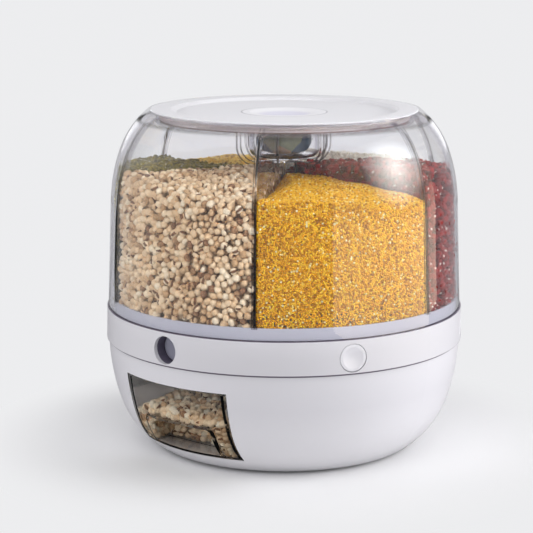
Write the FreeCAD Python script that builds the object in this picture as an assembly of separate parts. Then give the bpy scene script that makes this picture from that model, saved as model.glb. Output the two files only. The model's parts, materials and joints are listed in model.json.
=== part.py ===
import FreeCAD, Part
import math
import os
from FreeCAD import Vector

# Rotating food dispenser. Millimetres, +Z up, origin on the table under the middle.
# The window of the receiving box faces -Y. Bearings around the axis are in degrees
# from -Y, growing towards +X.

# Compartments
COMPARTMENTS = 6
STEP_DEG = 360.0 / COMPARTMENTS

# Clearances
SEAM = 0.3             # between shells that meet at a seam
RUN = 0.06             # shaft in a hole
SLIDE = 0.3            # sliding plates and drawers
SEAT = 0.1             # pieces that are seated in each other

# Feet
FOOT_R = 9.0
FOOT_PROUD = 2.0
FOOT_SUNK = 1.0
FOOT_INSET = 10.0      # feet inside the edge of the bowl's bottom
FOOT_COUNT = 4
FOOT_EDGE = 0.8

# Base bowl
BASE_H = 84.1
BOWL_STEP = 1.6        # bowl's rim inside the foot of the ring
BOWL_DRAFT_DEG = 3.35
BOWL_STRAIGHT = 6.0
BOWL_SIDE_R = 158.5
BOWL_SIDE_TURN_DEG = 15.4
BOWL_BOTTOM_LEAN_DEG = 57.0
BOWL_WALL = 3.0

# Window and receiving box
WINDOW_TOP_W = 99.0
WINDOW_BOTTOM_W = 96.0
WINDOW_LOW_Z = 13.0
WINDOW_DROP = 15.1     # window's top below the bowl's rim
WINDOW_GAP = 0.4
BOX_WALL = 2.2
BOX_DEPTH = 86.4
BOX_SIDE_INSET = 1.6   # body's side behind the edge of its front
BOX_BODY_DROP = 1.5    # body's rim below the top of its front
NOTCH_W = 64.0
NOTCH_H = 25.0
NOTCH_DEPTH = 38.4
NOTCH_CORNER = 4.0
CRADLE_WALL = 2.0
CRADLE_DROP = 12.0     # cradle's sides below the window's top
CRADLE_RIB_W = 3.0
CRADLE_RIB_X = 30.0
EAR_X = 53.5
EAR_FRONT_GAP = 3.5     # from the front ears to the bowl's wall
EAR_BACK_INSET = 78.4   # behind the bowl's rim
EAR_R = 4.5
EAR_BITE = 4.0

# Deck of the base
DECK_T = 3.0
DECK_BELOW_RIM = 3.1
POST_R = 5.0
POST_INSET = 26.4      # inside the bowl's rim
POST_COUNT = 4
SCREW_R = 1.5
SCREW_HEAD_R = 3.2
SCREW_HEAD_H = 2.0
SCREW_BITE = 10.0
CHUTE_WALL = 2.0
CHUTE_MARGIN = 5.0
DECK_RIB_W = 2.5
DECK_RIB_H = 7.0
DECK_RIB_INSET = 18.4
CHUTE_DROP = 7.0

# Spindle and bearing
SPINDLE_R = 8.0
FLANGE_R = 24.0
FLANGE_T = 3.0
FLANGE_SCREW_CIRCLE_R = 17.0
FLANGE_SCREW_COUNT = 3
FLANGE_BITE = 8.0
RACE_INSET = 44.0      # inside the middle of the outlets
RACE_W = 12.0
RACE_T = 3.0
GROOVE_DEPTH = 1.0
BALL_R = 3.0
BALL_COUNT = 18
CAGE_T = 1.6
CAGE_W = 10.0
WASHER_R = 13.0
WASHER_T = 1.5
CENTRE_SCREW_R = 2.5
CENTRE_SCREW_HEAD_R = 4.6
CENTRE_SCREW_HEAD_H = 3.0
CENTRE_SCREW_BITE = 12.0

# Ring of the drum
RING_R = 140.0
RING_DRAFT = 0.6       # ring's top edge inside its foot
RING_H = 25.8
RING_WALL = 3.5
RING_EDGE = 0.5
LEDGE_W = 11.5
LEDGE_T = 2.0

# Gates and buttons
TRAY_T = 2.5
TRAY_INSET = 9.5       # inside the ring's ledge
PAD_T = 1.5
GATE_T = 2.0
GATE_W = 44.0
GATE_REACH = 15.0      # from the middle of the outlet to the gate's inner end
OUTLET_INSET = 37.5    # middle of the outlet inside the ring's wall
OUTLET_L = 10.0
OUTLET_W = 36.0
OUTLET_WALL = 2.0
TRAVEL = 11.0
BUTTON_R = 10.25
BUTTON_GAP = 0.35
BUTTON_L = 12.0
BUTTON_WALL = 2.0
BUTTON_FACE_T = 3.0
BUTTON_EDGE = 0.6
PRESSED_BUTTON = 1     # the one over the window
BUTTON_DISH_R = 8.0
BUTTON_DISH_DEPTH = 1.2
BUTTON_SET_IN = 0.35
SLEEVE_L = 10.0
SLEEVE_WALL = 1.0
STEM_W = 14.0
STEM_H = 4.5
STEM_L = 5.0
GATE_LIP = 3.0         # solid strip outside the gate's slot
RAIL_W = 1.5
RAIL_END = 5.0
SPRING_R = 2.8
SPRING_WIRE = 0.7
TAB_W = 10.0
TAB_H = 6.0
TAB_T = 2.0
SPRING_ROOM = 21.5     # from the stop to the gate
STOP_T = 2.5
STOP_W = 12.0

# Floor of the hopper
FLOOR_RIM_H = 9.0
FLOOR_WALL = 2.5
TROUGH_DROP = 2.2      # floor of the trough below the ring's top
TROUGH_W = 25.0
HUB_WELL_R = 16.0
HUB_RISE = 15.8        # above the ring's top
RIM_TOP_W = 1.5
FLOOR_SLOPE_EXTRA = 0.25  # a slope is measured straight down, so it gets a little more
HUB_SLEEVE_H = 9.0
HUB_SLEEVE_WALL = 3.5
HUB_FLOOR_T = 3.0
HUB_SHOULDER_W = 6.5
FLOOR_SCREW_INSET = 24.0  # inside the middle of the outlets
RING_SCREW_INSET = 7.5    # inside the ring's wall
RING_POST_R = 3.3

# Dome
DOME_STEP = 0.9        # dome's foot inside the ring's top edge
DOME_DRAFT_DEG = 2.16
DOME_STRAIGHT = 82.8
DOME_SIDE_R = 129.0
DOME_SIDE_TURN_DEG = 17.9
DOME_MOUTH_LEAN_DEG = 51.2
DOME_WALL = 2.5
DOME_H = 152.5
MOUTH_LIP_W = 1.7
LEDGE_DROP = 1.5
MOUTH_LEDGE_T = 2.0
MOUTH_SEAT_W = 4.1     # what the lid lies on, inside the mouth's lip
COLLAR_WALL = 2.0
COLLAR_H = 8.0
RIB_T = 1.0
RIB_DEPTH = 3.0
SLOT_W = 2.0
RIB_ROOT = 1.0         # rib's root inside the wall

# Dividers and centre tube
DIVIDER_T = 1.5
DIVIDER_TOP_DROP = 1.4
DIVIDER_CORNER = 5.0
CUTOUT_R = 36.0
CUTOUT_UNDER_CUP = 3.0
CUTOUT_CORNER = 12.0
BEAD_W = 3.5
BEAD_T = 3.2
TUBE_R = 11.0
TUBE_WALL = 1.5
TUBE_FLANGE_R = 20.0
TUBE_FLANGE_T = 2.0
TUBE_PLUG_H = 6.0
TUBE_RIB_DEPTH = 2.5

# Lid
LID_GAP = 0.5
LID_EDGE_T = 1.3
LID_T = 2.4
LID_RIM_W = 15.5
LID_SLOPE_W = 4.0
LID_SINK = 2.7
SKIRT_WALL = 2.0
SKIRT_H = 7.0
SEAL_PROUD = 0.9
SEAL_H = 2.4
SEAL_LIFT = 2.2        # above the skirt's lower edge
SEAL_ROUND = 0.6
LID_EDGE_ROUND = 0.5
LID_SOFT_ROUND = 3.0
CAP_R = 33.4
CAP_FLANGE_T = 2.4
CAP_BOSS_WALL = 2.6
DISH_R = 27.0
DISH_DEPTH = 3.4
CAP_WALL = 2.0
CAP_SKIRT_H = 10.0
CUP_R = 27.5
CUP_WALL = 1.5
CUP_H = 31.6
CUP_CORNER = 6.0
CUP_GAP = 0.7
SACHET_GAP = 4.0
SACHET_H = 15.0
SACHET_CORNER = 5.0

# Grain: height of the heap above the ring, at the wall and in the middle, by compartment
HEAPS = [
    ("jobs_tears", 101.8, 110.8),
    ("millet", 96.3, 102.8),
    ("red_beans", 109.8, 111.8),
    ("cream_rice", 106.8, 108.8),
    ("corn_grits", 102.8, 105.8),
    ("mung_beans", 105.8, 108.8),
]
GRAIN_GAP = 0.4
CREST_R = 48.0
FILL_BELOW_CUP = 3.0
BOX_GRAIN_FRONT_H = 34.0
BOX_GRAIN_BACK_H = 44.0

BEYOND = 10.0          # how far a cutting shape reaches past what it cuts
NEAR = 0.01            # how close an edge lies to the place it is looked for

SHAPES = {}


# Small helpers

def at(r, z):
    return Vector(r, 0, z)


def turned(shape, bearing):
    copy = shape.copy()
    copy.rotate(Vector(0, 0, 0), Vector(0, 0, 1), bearing)
    return copy


def line(a, b):
    return Part.LineSegment(a, b).toShape()


def polyline(points):
    return [line(a, b) for a, b in zip(points, points[1:])]


def spun(edges, sweep=360.0):
    face = Part.Face(Part.Wire(Part.__sortEdges__(edges)))
    return face.revolve(Vector(0, 0, 0), Vector(0, 0, 1), sweep)


def spun_polygon(points, sweep=360.0):
    return spun(polyline(points + points[:1]), sweep)


def tube(r_out, r_in, z_low, z_high):
    return spun_polygon([at(r_in, z_low), at(r_out, z_low), at(r_out, z_high), at(r_in, z_high)])


def disc(r, z_low, z_high, x=0.0, y=0.0):
    return Part.makeCylinder(r, z_high - z_low, Vector(x, y, z_low))


def block(x0, x1, y0, y1, z0, z1):
    return Part.makeBox(x1 - x0, y1 - y0, z1 - z0, Vector(x0, y0, z0))


def radial_block(width, r_in, r_out, z0, z1):
    return block(-width / 2, width / 2, -r_out, -r_in, z0, z1)


def radial_cylinder(r, r_in, r_out, z):
    return Part.makeCylinder(r, r_out - r_in, Vector(0, -r_in, z), Vector(0, -1, 0))


def on_circle(r, bearing):
    angle = math.radians(bearing)
    return r * math.sin(angle), -r * math.cos(angle)


def circle_spots(r, count):
    return [on_circle(r, (i + 0.5) * 360.0 / count) for i in range(count)]


def fused(shapes):
    first, rest = shapes[0], shapes[1:]
    return first.fuse(rest).removeSplitter() if rest else first


def around(shape, start=0.0, count=COMPARTMENTS):
    return [turned(shape, start + i * 360.0 / count) for i in range(count)]


# A flank is the outline of a shell that starts straight and bends inwards over two arcs

class Flank:
    def __init__(self, foot_r, foot_z, draft, straight, side_r, side_turn, end_z, end_lean):
        self.foot = (foot_r, foot_z)
        self.side_r = side_r
        self.way = 1 if end_z > foot_z else -1
        self.a0 = math.radians(draft)
        self.a1 = self.a0 + math.radians(side_turn)
        bend = (foot_r - straight * math.sin(self.a0), straight * math.cos(self.a0))
        self.side_c = (bend[0] - side_r * math.cos(self.a0), bend[1] - side_r * math.sin(self.a0))
        left = self.rise(end_z) - self.side_c[1] - side_r * math.sin(self.a1)
        self.end_r = left / (math.sin(math.radians(end_lean)) - math.sin(self.a1))
        shift = side_r - self.end_r
        self.end_c = (self.side_c[0] + shift * math.cos(self.a1),
                      self.side_c[1] + shift * math.sin(self.a1))

    def spot(self, centre, radius, angle):
        return at(centre[0] + radius * math.cos(angle),
                  self.foot[1] + self.way * (centre[1] + radius * math.sin(angle)))

    def rise(self, z):
        return self.way * (z - self.foot[1])

    def knots(self, inset):
        low = self.side_c[1] + (self.side_r - inset) * math.sin(self.a0)
        high = self.side_c[1] + (self.side_r - inset) * math.sin(self.a1)
        return low, high

    def side_angle(self, rise, inset):
        return math.asin((rise - self.side_c[1]) / (self.side_r - inset))

    def end_angle(self, rise, inset):
        return math.asin((rise - self.end_c[1]) / (self.end_r - inset))

    def radius(self, z, inset=0.0):
        rise = self.rise(z)
        low, high = self.knots(inset)
        if rise > high:
            angle = self.end_angle(rise, inset)
            return self.end_c[0] + (self.end_r - inset) * math.cos(angle)
        if rise > low:
            angle = self.side_angle(rise, inset)
            return self.side_c[0] + (self.side_r - inset) * math.cos(angle)
        corner = self.side_c[0] + (self.side_r - inset) * math.cos(self.a0)
        return corner + (low - rise) * math.tan(self.a0)

    def arc(self, centre, radius, a, b):
        points = [self.spot(centre, radius, x) for x in (a, (a + b) / 2, b)]
        return Part.Arc(*points).toShape()

    def edges(self, z_start, z_end, inset=0.0):
        start, end = self.rise(z_start), self.rise(z_end)
        low, high = self.knots(inset)
        side, last = self.side_r - inset, self.end_r - inset
        result = []
        if start < low:
            result.append(line(at(self.radius(z_start, inset), z_start),
                               self.spot(self.side_c, side, self.a0)))
        if start < high and end > low:
            result.append(self.arc(self.side_c, side,
                                   self.side_angle(max(start, low), inset),
                                   self.side_angle(min(end, high), inset)))
        if end > high:
            result.append(self.arc(self.end_c, last,
                                   self.end_angle(max(start, high), inset),
                                   self.end_angle(end, inset)))
        return result


BOWL_LOW_Z = FOOT_PROUD
BOWL_TOP_R = RING_R - BOWL_STEP
BOWL = Flank(BOWL_TOP_R, BASE_H, BOWL_DRAFT_DEG, BOWL_STRAIGHT,
             BOWL_SIDE_R, BOWL_SIDE_TURN_DEG, BOWL_LOW_Z, BOWL_BOTTOM_LEAN_DEG)
RING_LOW_Z = BASE_H + SEAM
RING_TOP_Z = RING_LOW_Z + RING_H
RING_TOP_R = RING_R - RING_DRAFT
DOME_TOP_Z = RING_TOP_Z + DOME_H
DOME = Flank(RING_TOP_R - DOME_STEP, RING_TOP_Z, DOME_DRAFT_DEG, DOME_STRAIGHT,
             DOME_SIDE_R, DOME_SIDE_TURN_DEG, DOME_TOP_Z, DOME_MOUTH_LEAN_DEG)


def flank_solid(flank, z_start, z_end, inset):
    edges = flank.edges(z_start, z_end, inset)
    far = at(flank.radius(z_end, inset), z_end)
    near = at(flank.radius(z_start, inset), z_start)
    return spun(edges + polyline([far, at(0, z_end), at(0, z_start), near]))


# Heights and radii that follow from the sizes above

BOWL_FLOOR_Z = BOWL_LOW_Z + BOWL_WALL
DECK_TOP_Z = BASE_H - DECK_BELOW_RIM
DECK_LOW_Z = DECK_TOP_Z - DECK_T
BALL_Z = DECK_TOP_Z + RACE_T - GROOVE_DEPTH + BALL_R
UPPER_RACE_Z = BALL_Z + BALL_R - GROOVE_DEPTH
PAD_Z = UPPER_RACE_Z + RACE_T
TRAY_LOW_Z = PAD_Z + PAD_T
TRAY_TOP_Z = TRAY_LOW_Z + TRAY_T
GATE_LOW_Z = TRAY_TOP_Z + SLIDE
GATE_TOP_Z = GATE_LOW_Z + GATE_T
THROAT_LOW_Z = GATE_TOP_Z + SLIDE
FLOOR_RIM_Z = RING_TOP_Z + FLOOR_RIM_H
FLOOR_RIM_R = DOME.radius(FLOOR_RIM_Z, DOME_WALL) - SEAM
RING_IN_R = RING_R - RING_WALL
LEDGE_R = RING_IN_R - LEDGE_W
TRAY_R = LEDGE_R - TRAY_INSET
OUTLET_R = RING_IN_R - OUTLET_INSET
GATE_INNER_R = OUTLET_R - GATE_REACH
STOP_R = GATE_INNER_R - SPRING_ROOM
RACE_CIRCLE_R = OUTLET_R - RACE_INSET
FLOOR_LOW_Z = RING_TOP_Z - TROUGH_DROP
HUB_TOP_Z = RING_TOP_Z + HUB_RISE
BUTTON_Z = (GATE_LOW_Z + GATE_TOP_Z) / 2
BUTTON_FACE_R = RING_R - (RING_R - RING_TOP_R) * (BUTTON_Z - RING_LOW_Z) / RING_H - BUTTON_SET_IN
BUTTON_BACK_R = BUTTON_FACE_R - BUTTON_L
WINDOW_TOP_Z = BASE_H - WINDOW_DROP
HUB_FLOOR_Z = TRAY_LOW_Z + HUB_SLEEVE_H
HUB_FLOOR_TOP_Z = HUB_FLOOR_Z + HUB_FLOOR_T
SPINDLE_TOP_Z = HUB_FLOOR_TOP_Z + SEAT
MOUTH_R = DOME.radius(DOME_TOP_Z) - MOUTH_LIP_W
COLLAR_R = MOUTH_R - MOUTH_SEAT_W
LEDGE_Z = DOME_TOP_Z - LEDGE_DROP
COLLAR_LOW_Z = LEDGE_Z - COLLAR_H
DIVIDER_TOP_Z = COLLAR_LOW_Z - DIVIDER_TOP_DROP
LID_R = MOUTH_R - LID_GAP
LID_UNDER_Z = LEDGE_Z + SLIDE
LID_TOP_Z = LID_UNDER_Z + LID_EDGE_T
LID_FLAT_Z = LID_TOP_Z - LID_SINK
CUP_TOP_Z = LID_FLAT_Z - CAP_FLANGE_T - SEAT
CUP_LOW_Z = CUP_TOP_Z - CUP_H
CUTOUT_LOW_Z = CUP_LOW_Z - CUTOUT_UNDER_CUP
RIB_HALF = SLOT_W / 2 + RIB_T
SEAL_OUT_R = COLLAR_R - COLLAR_WALL - SEAM
SEAL_LOW_Z = LID_UNDER_Z - SKIRT_H + SEAL_LIFT
CRADLE_LOW_Z = WINDOW_LOW_Z - CRADLE_WALL
BOX_LOW_Z = WINDOW_LOW_Z + WINDOW_GAP
BOX_TOP_Z = WINDOW_TOP_Z - WINDOW_GAP
BOX_HALF_W = WINDOW_BOTTOM_W / 2 - WINDOW_GAP - BOX_SIDE_INSET
BOX_BACK_R = BOWL_TOP_R - BOX_DEPTH
NOTCH_BACK_R = BOWL_TOP_R - NOTCH_DEPTH


# Slopes of the hopper floor: rim, trough and hub

FLOOR_RIM_IN_R = FLOOR_RIM_R - RIM_TOP_W
TROUGH_OUT_R = OUTLET_R + TROUGH_W / 2
TROUGH_IN_R = OUTLET_R - TROUGH_W / 2
HUB_R = HUB_WELL_R + HUB_SHOULDER_W


def floor_line(lift):
    return [at(HUB_R, HUB_TOP_Z + lift),
            at(TROUGH_IN_R, FLOOR_LOW_Z + lift),
            at(TROUGH_OUT_R, FLOOR_LOW_Z + lift),
            at(FLOOR_RIM_IN_R, FLOOR_RIM_Z + lift)]


def floor_z(r):
    points = floor_line(0.0)
    for a, b in zip(points, points[1:]):
        if a.x <= r <= b.x:
            return a.z + (b.z - a.z) * (r - a.x) / (b.x - a.x)
    return HUB_TOP_Z if r < HUB_R else FLOOR_RIM_Z


# Base

def window_prism(gap, z_low, z_high):
    low = WINDOW_BOTTOM_W / 2 - gap
    high = WINDOW_TOP_W / 2 - gap
    front = -BOWL_TOP_R - BEYOND
    corners = [Vector(-low, front, z_low), Vector(low, front, z_low),
               Vector(high, front, z_high), Vector(-high, front, z_high)]
    face = Part.Face(Part.Wire(polyline(corners + corners[:1])))
    return face.extrude(Vector(0, -front - NOTCH_BACK_R + BOX_WALL, 0))


def post_spots():
    return circle_spots(BOWL_TOP_R - POST_INSET, POST_COUNT)


def foot_spots():
    return circle_spots(BOWL.radius(BOWL_LOW_Z) - FOOT_INSET - FOOT_R, FOOT_COUNT)


def ear_front_y():
    reach = BOWL.radius(WINDOW_LOW_Z, BOWL_WALL) - EAR_FRONT_GAP - EAR_R
    return -math.sqrt(reach ** 2 - EAR_X ** 2)


def ear_spots():
    return [(side * EAR_X, y) for side in (-1, 1) for y in (ear_front_y(), EAR_BACK_INSET - BOWL_TOP_R)]


def base_bowl():
    outer = flank_solid(BOWL, BASE_H, BOWL_LOW_Z, 0.0)
    inner = flank_solid(BOWL, BASE_H, BOWL_FLOOR_Z, BOWL_WALL)
    posts = [disc(POST_R, BOWL_LOW_Z, DECK_LOW_Z, x, y).common(outer) for x, y in post_spots()]
    pegs = [disc(EAR_R, BOWL_LOW_Z, CRADLE_LOW_Z, x, y).common(outer) for x, y in ear_spots()]
    bowl = fused([outer.cut(inner)] + posts + pegs)
    bowl = bowl.cut(window_prism(0.0, WINDOW_LOW_Z, WINDOW_TOP_Z))
    for x, y in foot_spots():
        bowl = bowl.cut(disc(FOOT_R + SEAT, BOWL_LOW_Z, BOWL_LOW_Z + FOOT_SUNK, x, y))
    for x, y in post_spots():
        bowl = bowl.cut(disc(SCREW_R + SEAT, DECK_LOW_Z - SCREW_BITE - SEAT, DECK_LOW_Z, x, y))
    for x, y in ear_spots():
        bowl = bowl.cut(disc(SCREW_R + SEAT, CRADLE_LOW_Z - EAR_BITE - SEAT, CRADLE_LOW_Z, x, y))
    return bowl


def screw(x, y, z_seat, bite, grip):
    head = disc(SCREW_HEAD_R, z_seat + grip, z_seat + grip + SCREW_HEAD_H, x, y)
    shank = disc(SCREW_R, z_seat - bite, z_seat + grip, x, y)
    return head.fuse(shank)


def rubber_feet():
    top = FOOT_PROUD + FOOT_SUNK
    edge = FOOT_EDGE
    foot = spun_polygon([at(0, 0), at(FOOT_R - edge, 0), at(FOOT_R, edge), at(FOOT_R, top), at(0, top)])
    return Part.makeCompound([foot.translated(Vector(x, y, 0)) for x, y in foot_spots()])


def box_cradle():
    inside = flank_solid(BOWL, DECK_LOW_Z, BOWL_FLOOR_Z, BOWL_WALL + SEAM)
    x_in = BOX_HALF_W + SLIDE
    x_out = x_in + CRADLE_WALL
    y_in = -(BOX_BACK_R - SLIDE)
    y_out = y_in + CRADLE_WALL
    front = -BOWL_TOP_R
    floor = block(-x_out, x_out, front, y_out, CRADLE_LOW_Z, WINDOW_LOW_Z)
    top = WINDOW_TOP_Z - CRADLE_DROP
    sides = [block(-x_out, -x_in, front, y_out, CRADLE_LOW_Z, top),
             block(x_in, x_out, front, y_out, CRADLE_LOW_Z, top),
             block(-x_out, x_out, y_in, y_out, CRADLE_LOW_Z, top)]
    ribs = [block(x - CRADLE_RIB_W / 2, x + CRADLE_RIB_W / 2, ear_front_y(), y_out,
                  BOWL_FLOOR_Z, CRADLE_LOW_Z) for x in (-CRADLE_RIB_X, 0.0, CRADLE_RIB_X)]
    ears = []
    for x, y in ear_spots():
        side = 1 if x > 0 else -1
        inner = side * (x_in + x_out) / 2
        ears.append(disc(EAR_R, CRADLE_LOW_Z, WINDOW_LOW_Z, x, y))
        ears.append(block(min(inner, x), max(inner, x), y - EAR_R, y + EAR_R,
                          CRADLE_LOW_Z, WINDOW_LOW_Z))
    cradle = fused([floor] + sides + ribs + ears).common(inside)
    for x, y in ear_spots():
        cradle = cradle.cut(disc(SCREW_R + SEAT, CRADLE_LOW_Z, WINDOW_LOW_Z, x, y))
    return cradle


def cradle_screws():
    return Part.makeCompound([screw(x, y, CRADLE_LOW_Z, EAR_BITE, WINDOW_LOW_Z - CRADLE_LOW_Z)
                              for x, y in ear_spots()])


def deck_screws():
    return Part.makeCompound([screw(x, y, DECK_LOW_Z, SCREW_BITE, DECK_T) for x, y in post_spots()])


def chute_block(wall, z_low, z_high):
    half = OUTLET_L / 2 + CHUTE_MARGIN + wall
    return radial_block(OUTLET_W + 2 * (CHUTE_MARGIN + wall), OUTLET_R - half, OUTLET_R + half,
                        z_low, z_high)


def flange_screw_spots():
    return circle_spots(FLANGE_SCREW_CIRCLE_R, FLANGE_SCREW_COUNT)


def base_deck():
    rim_r = BOWL.radius(DECK_LOW_Z, BOWL_WALL) - SEAM
    plate = disc(rim_r, DECK_LOW_Z, DECK_TOP_Z)
    boss = disc(FLANGE_R, DECK_LOW_Z - DECK_RIB_H, DECK_LOW_Z)
    ribs = around(radial_block(DECK_RIB_W, SPINDLE_R, BOWL_TOP_R - DECK_RIB_INSET,
                               DECK_LOW_Z - DECK_RIB_H, DECK_LOW_Z), STEP_DEG / 2)
    collar = chute_block(CHUTE_WALL, DECK_LOW_Z - CHUTE_DROP, TRAY_LOW_Z - SLIDE)
    deck = fused([plate, boss, collar] + ribs)
    deck = deck.cut(chute_block(0.0, DECK_LOW_Z - CHUTE_DROP, TRAY_LOW_Z - SLIDE))
    for x, y in post_spots():
        deck = deck.cut(disc(SCREW_R + SEAT, DECK_LOW_Z, DECK_TOP_Z, x, y))
    for x, y in flange_screw_spots():
        deck = deck.cut(disc(SCREW_R + SEAT, DECK_TOP_Z - FLANGE_BITE - SEAT, DECK_TOP_Z, x, y))
    return deck


def spindle():
    flange = disc(FLANGE_R, DECK_TOP_Z, DECK_TOP_Z + FLANGE_T)
    post = disc(SPINDLE_R, DECK_TOP_Z, SPINDLE_TOP_Z)
    body = fused([flange, post])
    for x, y in flange_screw_spots():
        body = body.cut(disc(SCREW_R + SEAT, DECK_TOP_Z, DECK_TOP_Z + FLANGE_T, x, y))
    depth = CENTRE_SCREW_BITE + SEAT
    return body.cut(disc(CENTRE_SCREW_R + SEAT, SPINDLE_TOP_Z - depth, SPINDLE_TOP_Z))


def spindle_screws():
    return Part.makeCompound([screw(x, y, DECK_TOP_Z, FLANGE_BITE, FLANGE_T)
                              for x, y in flange_screw_spots()])


def retaining_washer():
    return tube(WASHER_R, CENTRE_SCREW_R + SEAT, SPINDLE_TOP_Z, SPINDLE_TOP_Z + WASHER_T)


def retaining_screw():
    seat = SPINDLE_TOP_Z + WASHER_T
    head = disc(CENTRE_SCREW_HEAD_R, seat, seat + CENTRE_SCREW_HEAD_H)
    return head.fuse(disc(CENTRE_SCREW_R, SPINDLE_TOP_Z - CENTRE_SCREW_BITE, seat))


def groove():
    return Part.makeTorus(RACE_CIRCLE_R, BALL_R + SEAT, Vector(0, 0, BALL_Z))


def race(z_low):
    ring = tube(RACE_CIRCLE_R + RACE_W / 2, RACE_CIRCLE_R - RACE_W / 2, z_low, z_low + RACE_T)
    return ring.cut(groove())


# Bearing

def ball_spots():
    return [on_circle(RACE_CIRCLE_R, i * 360.0 / BALL_COUNT) for i in range(BALL_COUNT)]


def ball_cage():
    cage = tube(RACE_CIRCLE_R + CAGE_W / 2, RACE_CIRCLE_R - CAGE_W / 2,
                BALL_Z - CAGE_T / 2, BALL_Z + CAGE_T / 2)
    for x, y in ball_spots():
        cage = cage.cut(disc(BALL_R + SEAM, BALL_Z - CAGE_T, BALL_Z + CAGE_T, x, y))
    return cage


def bearing_balls():
    return Part.makeCompound([Part.makeSphere(BALL_R, Vector(x, y, BALL_Z)) for x, y in ball_spots()])


# Drum

def drum_ring():
    outline = [at(RING_IN_R, RING_LOW_Z), at(RING_R - RING_EDGE, RING_LOW_Z),
               at(RING_R, RING_LOW_Z + RING_EDGE), at(RING_TOP_R, RING_TOP_Z - RING_EDGE),
               at(RING_TOP_R - RING_EDGE, RING_TOP_Z), at(LEDGE_R, RING_TOP_Z),
               at(LEDGE_R, RING_TOP_Z - LEDGE_T), at(RING_IN_R, RING_TOP_Z - LEDGE_T)]
    ring = spun_polygon(outline)
    hole = radial_cylinder(BUTTON_R + BUTTON_GAP, LEDGE_R, RING_R + 1, BUTTON_Z)
    for copy in around(hole):
        ring = ring.cut(copy)
    for x, y in ring_screw_spots():
        ring = ring.cut(disc(SCREW_R + SEAT, RING_TOP_Z - LEDGE_T, RING_TOP_Z, x, y))
    return ring


def ring_screw_spots():
    return circle_spots(RING_IN_R - RING_SCREW_INSET, COMPARTMENTS)


def floor_screw_spots():
    return circle_spots(OUTLET_R - FLOOR_SCREW_INSET, COMPARTMENTS)


def hanging_screw(x, y, z_seat, bite, grip):
    head = disc(SCREW_HEAD_R, z_seat - grip - SCREW_HEAD_H, z_seat - grip, x, y)
    shank = disc(SCREW_R, z_seat - grip, z_seat + bite, x, y)
    return head.fuse(shank)


def floor_section():
    rim_in = FLOOR_RIM_R - FLOOR_WALL
    sleeve_r = SPINDLE_R + RUN + HUB_SLEEVE_WALL
    well_r = HUB_WELL_R + FLOOR_WALL
    under = -FLOOR_WALL - FLOOR_SLOPE_EXTRA
    below = floor_line(under)
    slope = (below[3].z - below[2].z) / (FLOOR_RIM_IN_R - TROUGH_OUT_R)
    rim_z = below[2].z + slope * (rim_in - TROUGH_OUT_R)
    hub = [at(HUB_WELL_R, HUB_TOP_Z), at(HUB_WELL_R, HUB_FLOOR_TOP_Z),
           at(SPINDLE_R + RUN, HUB_FLOOR_TOP_Z), at(SPINDLE_R + RUN, TRAY_LOW_Z),
           at(sleeve_r, TRAY_LOW_Z), at(sleeve_r, HUB_FLOOR_Z),
           at(well_r, HUB_FLOOR_Z), at(well_r, HUB_TOP_Z + under)]
    rim = [at(rim_in, rim_z), at(rim_in, RING_TOP_Z), at(FLOOR_RIM_R, RING_TOP_Z),
           at(FLOOR_RIM_R, FLOOR_RIM_Z)]
    return hub + below[:3] + rim + list(reversed(floor_line(0.0)))


def hopper_floor():
    floor = spun_polygon(floor_section())
    half = OUTLET_L / 2
    throat = radial_block(OUTLET_W + 2 * OUTLET_WALL, OUTLET_R - half - OUTLET_WALL,
                          OUTLET_R + half + OUTLET_WALL, THROAT_LOW_Z, FLOOR_LOW_Z - FLOOR_WALL / 2)
    outlet = radial_block(OUTLET_W, OUTLET_R - half, OUTLET_R + half, THROAT_LOW_Z, FLOOR_LOW_Z)
    posts = [disc(POST_R, TRAY_TOP_Z, HUB_TOP_Z, x, y) for x, y in floor_screw_spots()]
    pegs = [disc(RING_POST_R, RING_TOP_Z, FLOOR_RIM_Z, x, y) for x, y in ring_screw_spots()]
    over = max(HUB_TOP_Z, FLOOR_RIM_Z) + 1
    above = spun_polygon(floor_line(0.0) + [at(FLOOR_RIM_IN_R, over), at(HUB_R, over)])
    floor = fused([floor, fused(around(throat) + posts + pegs).cut(above)])
    for copy in around(outlet):
        floor = floor.cut(copy)
    for x, y in floor_screw_spots():
        floor = floor.cut(disc(SCREW_R + SEAT, TRAY_TOP_Z, TRAY_TOP_Z + SCREW_BITE + SEAT, x, y))
    for x, y in ring_screw_spots():
        floor = floor.cut(disc(SCREW_R + SEAT, RING_TOP_Z, RING_TOP_Z + EAR_BITE + SEAT, x, y))
    return floor


def floor_screws():
    return Part.makeCompound([hanging_screw(x, y, TRAY_TOP_Z, SCREW_BITE, TRAY_T)
                              for x, y in floor_screw_spots()])


def ring_screws():
    return Part.makeCompound([hanging_screw(x, y, RING_TOP_Z, EAR_BITE, LEDGE_T)
                              for x, y in ring_screw_spots()])


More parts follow.
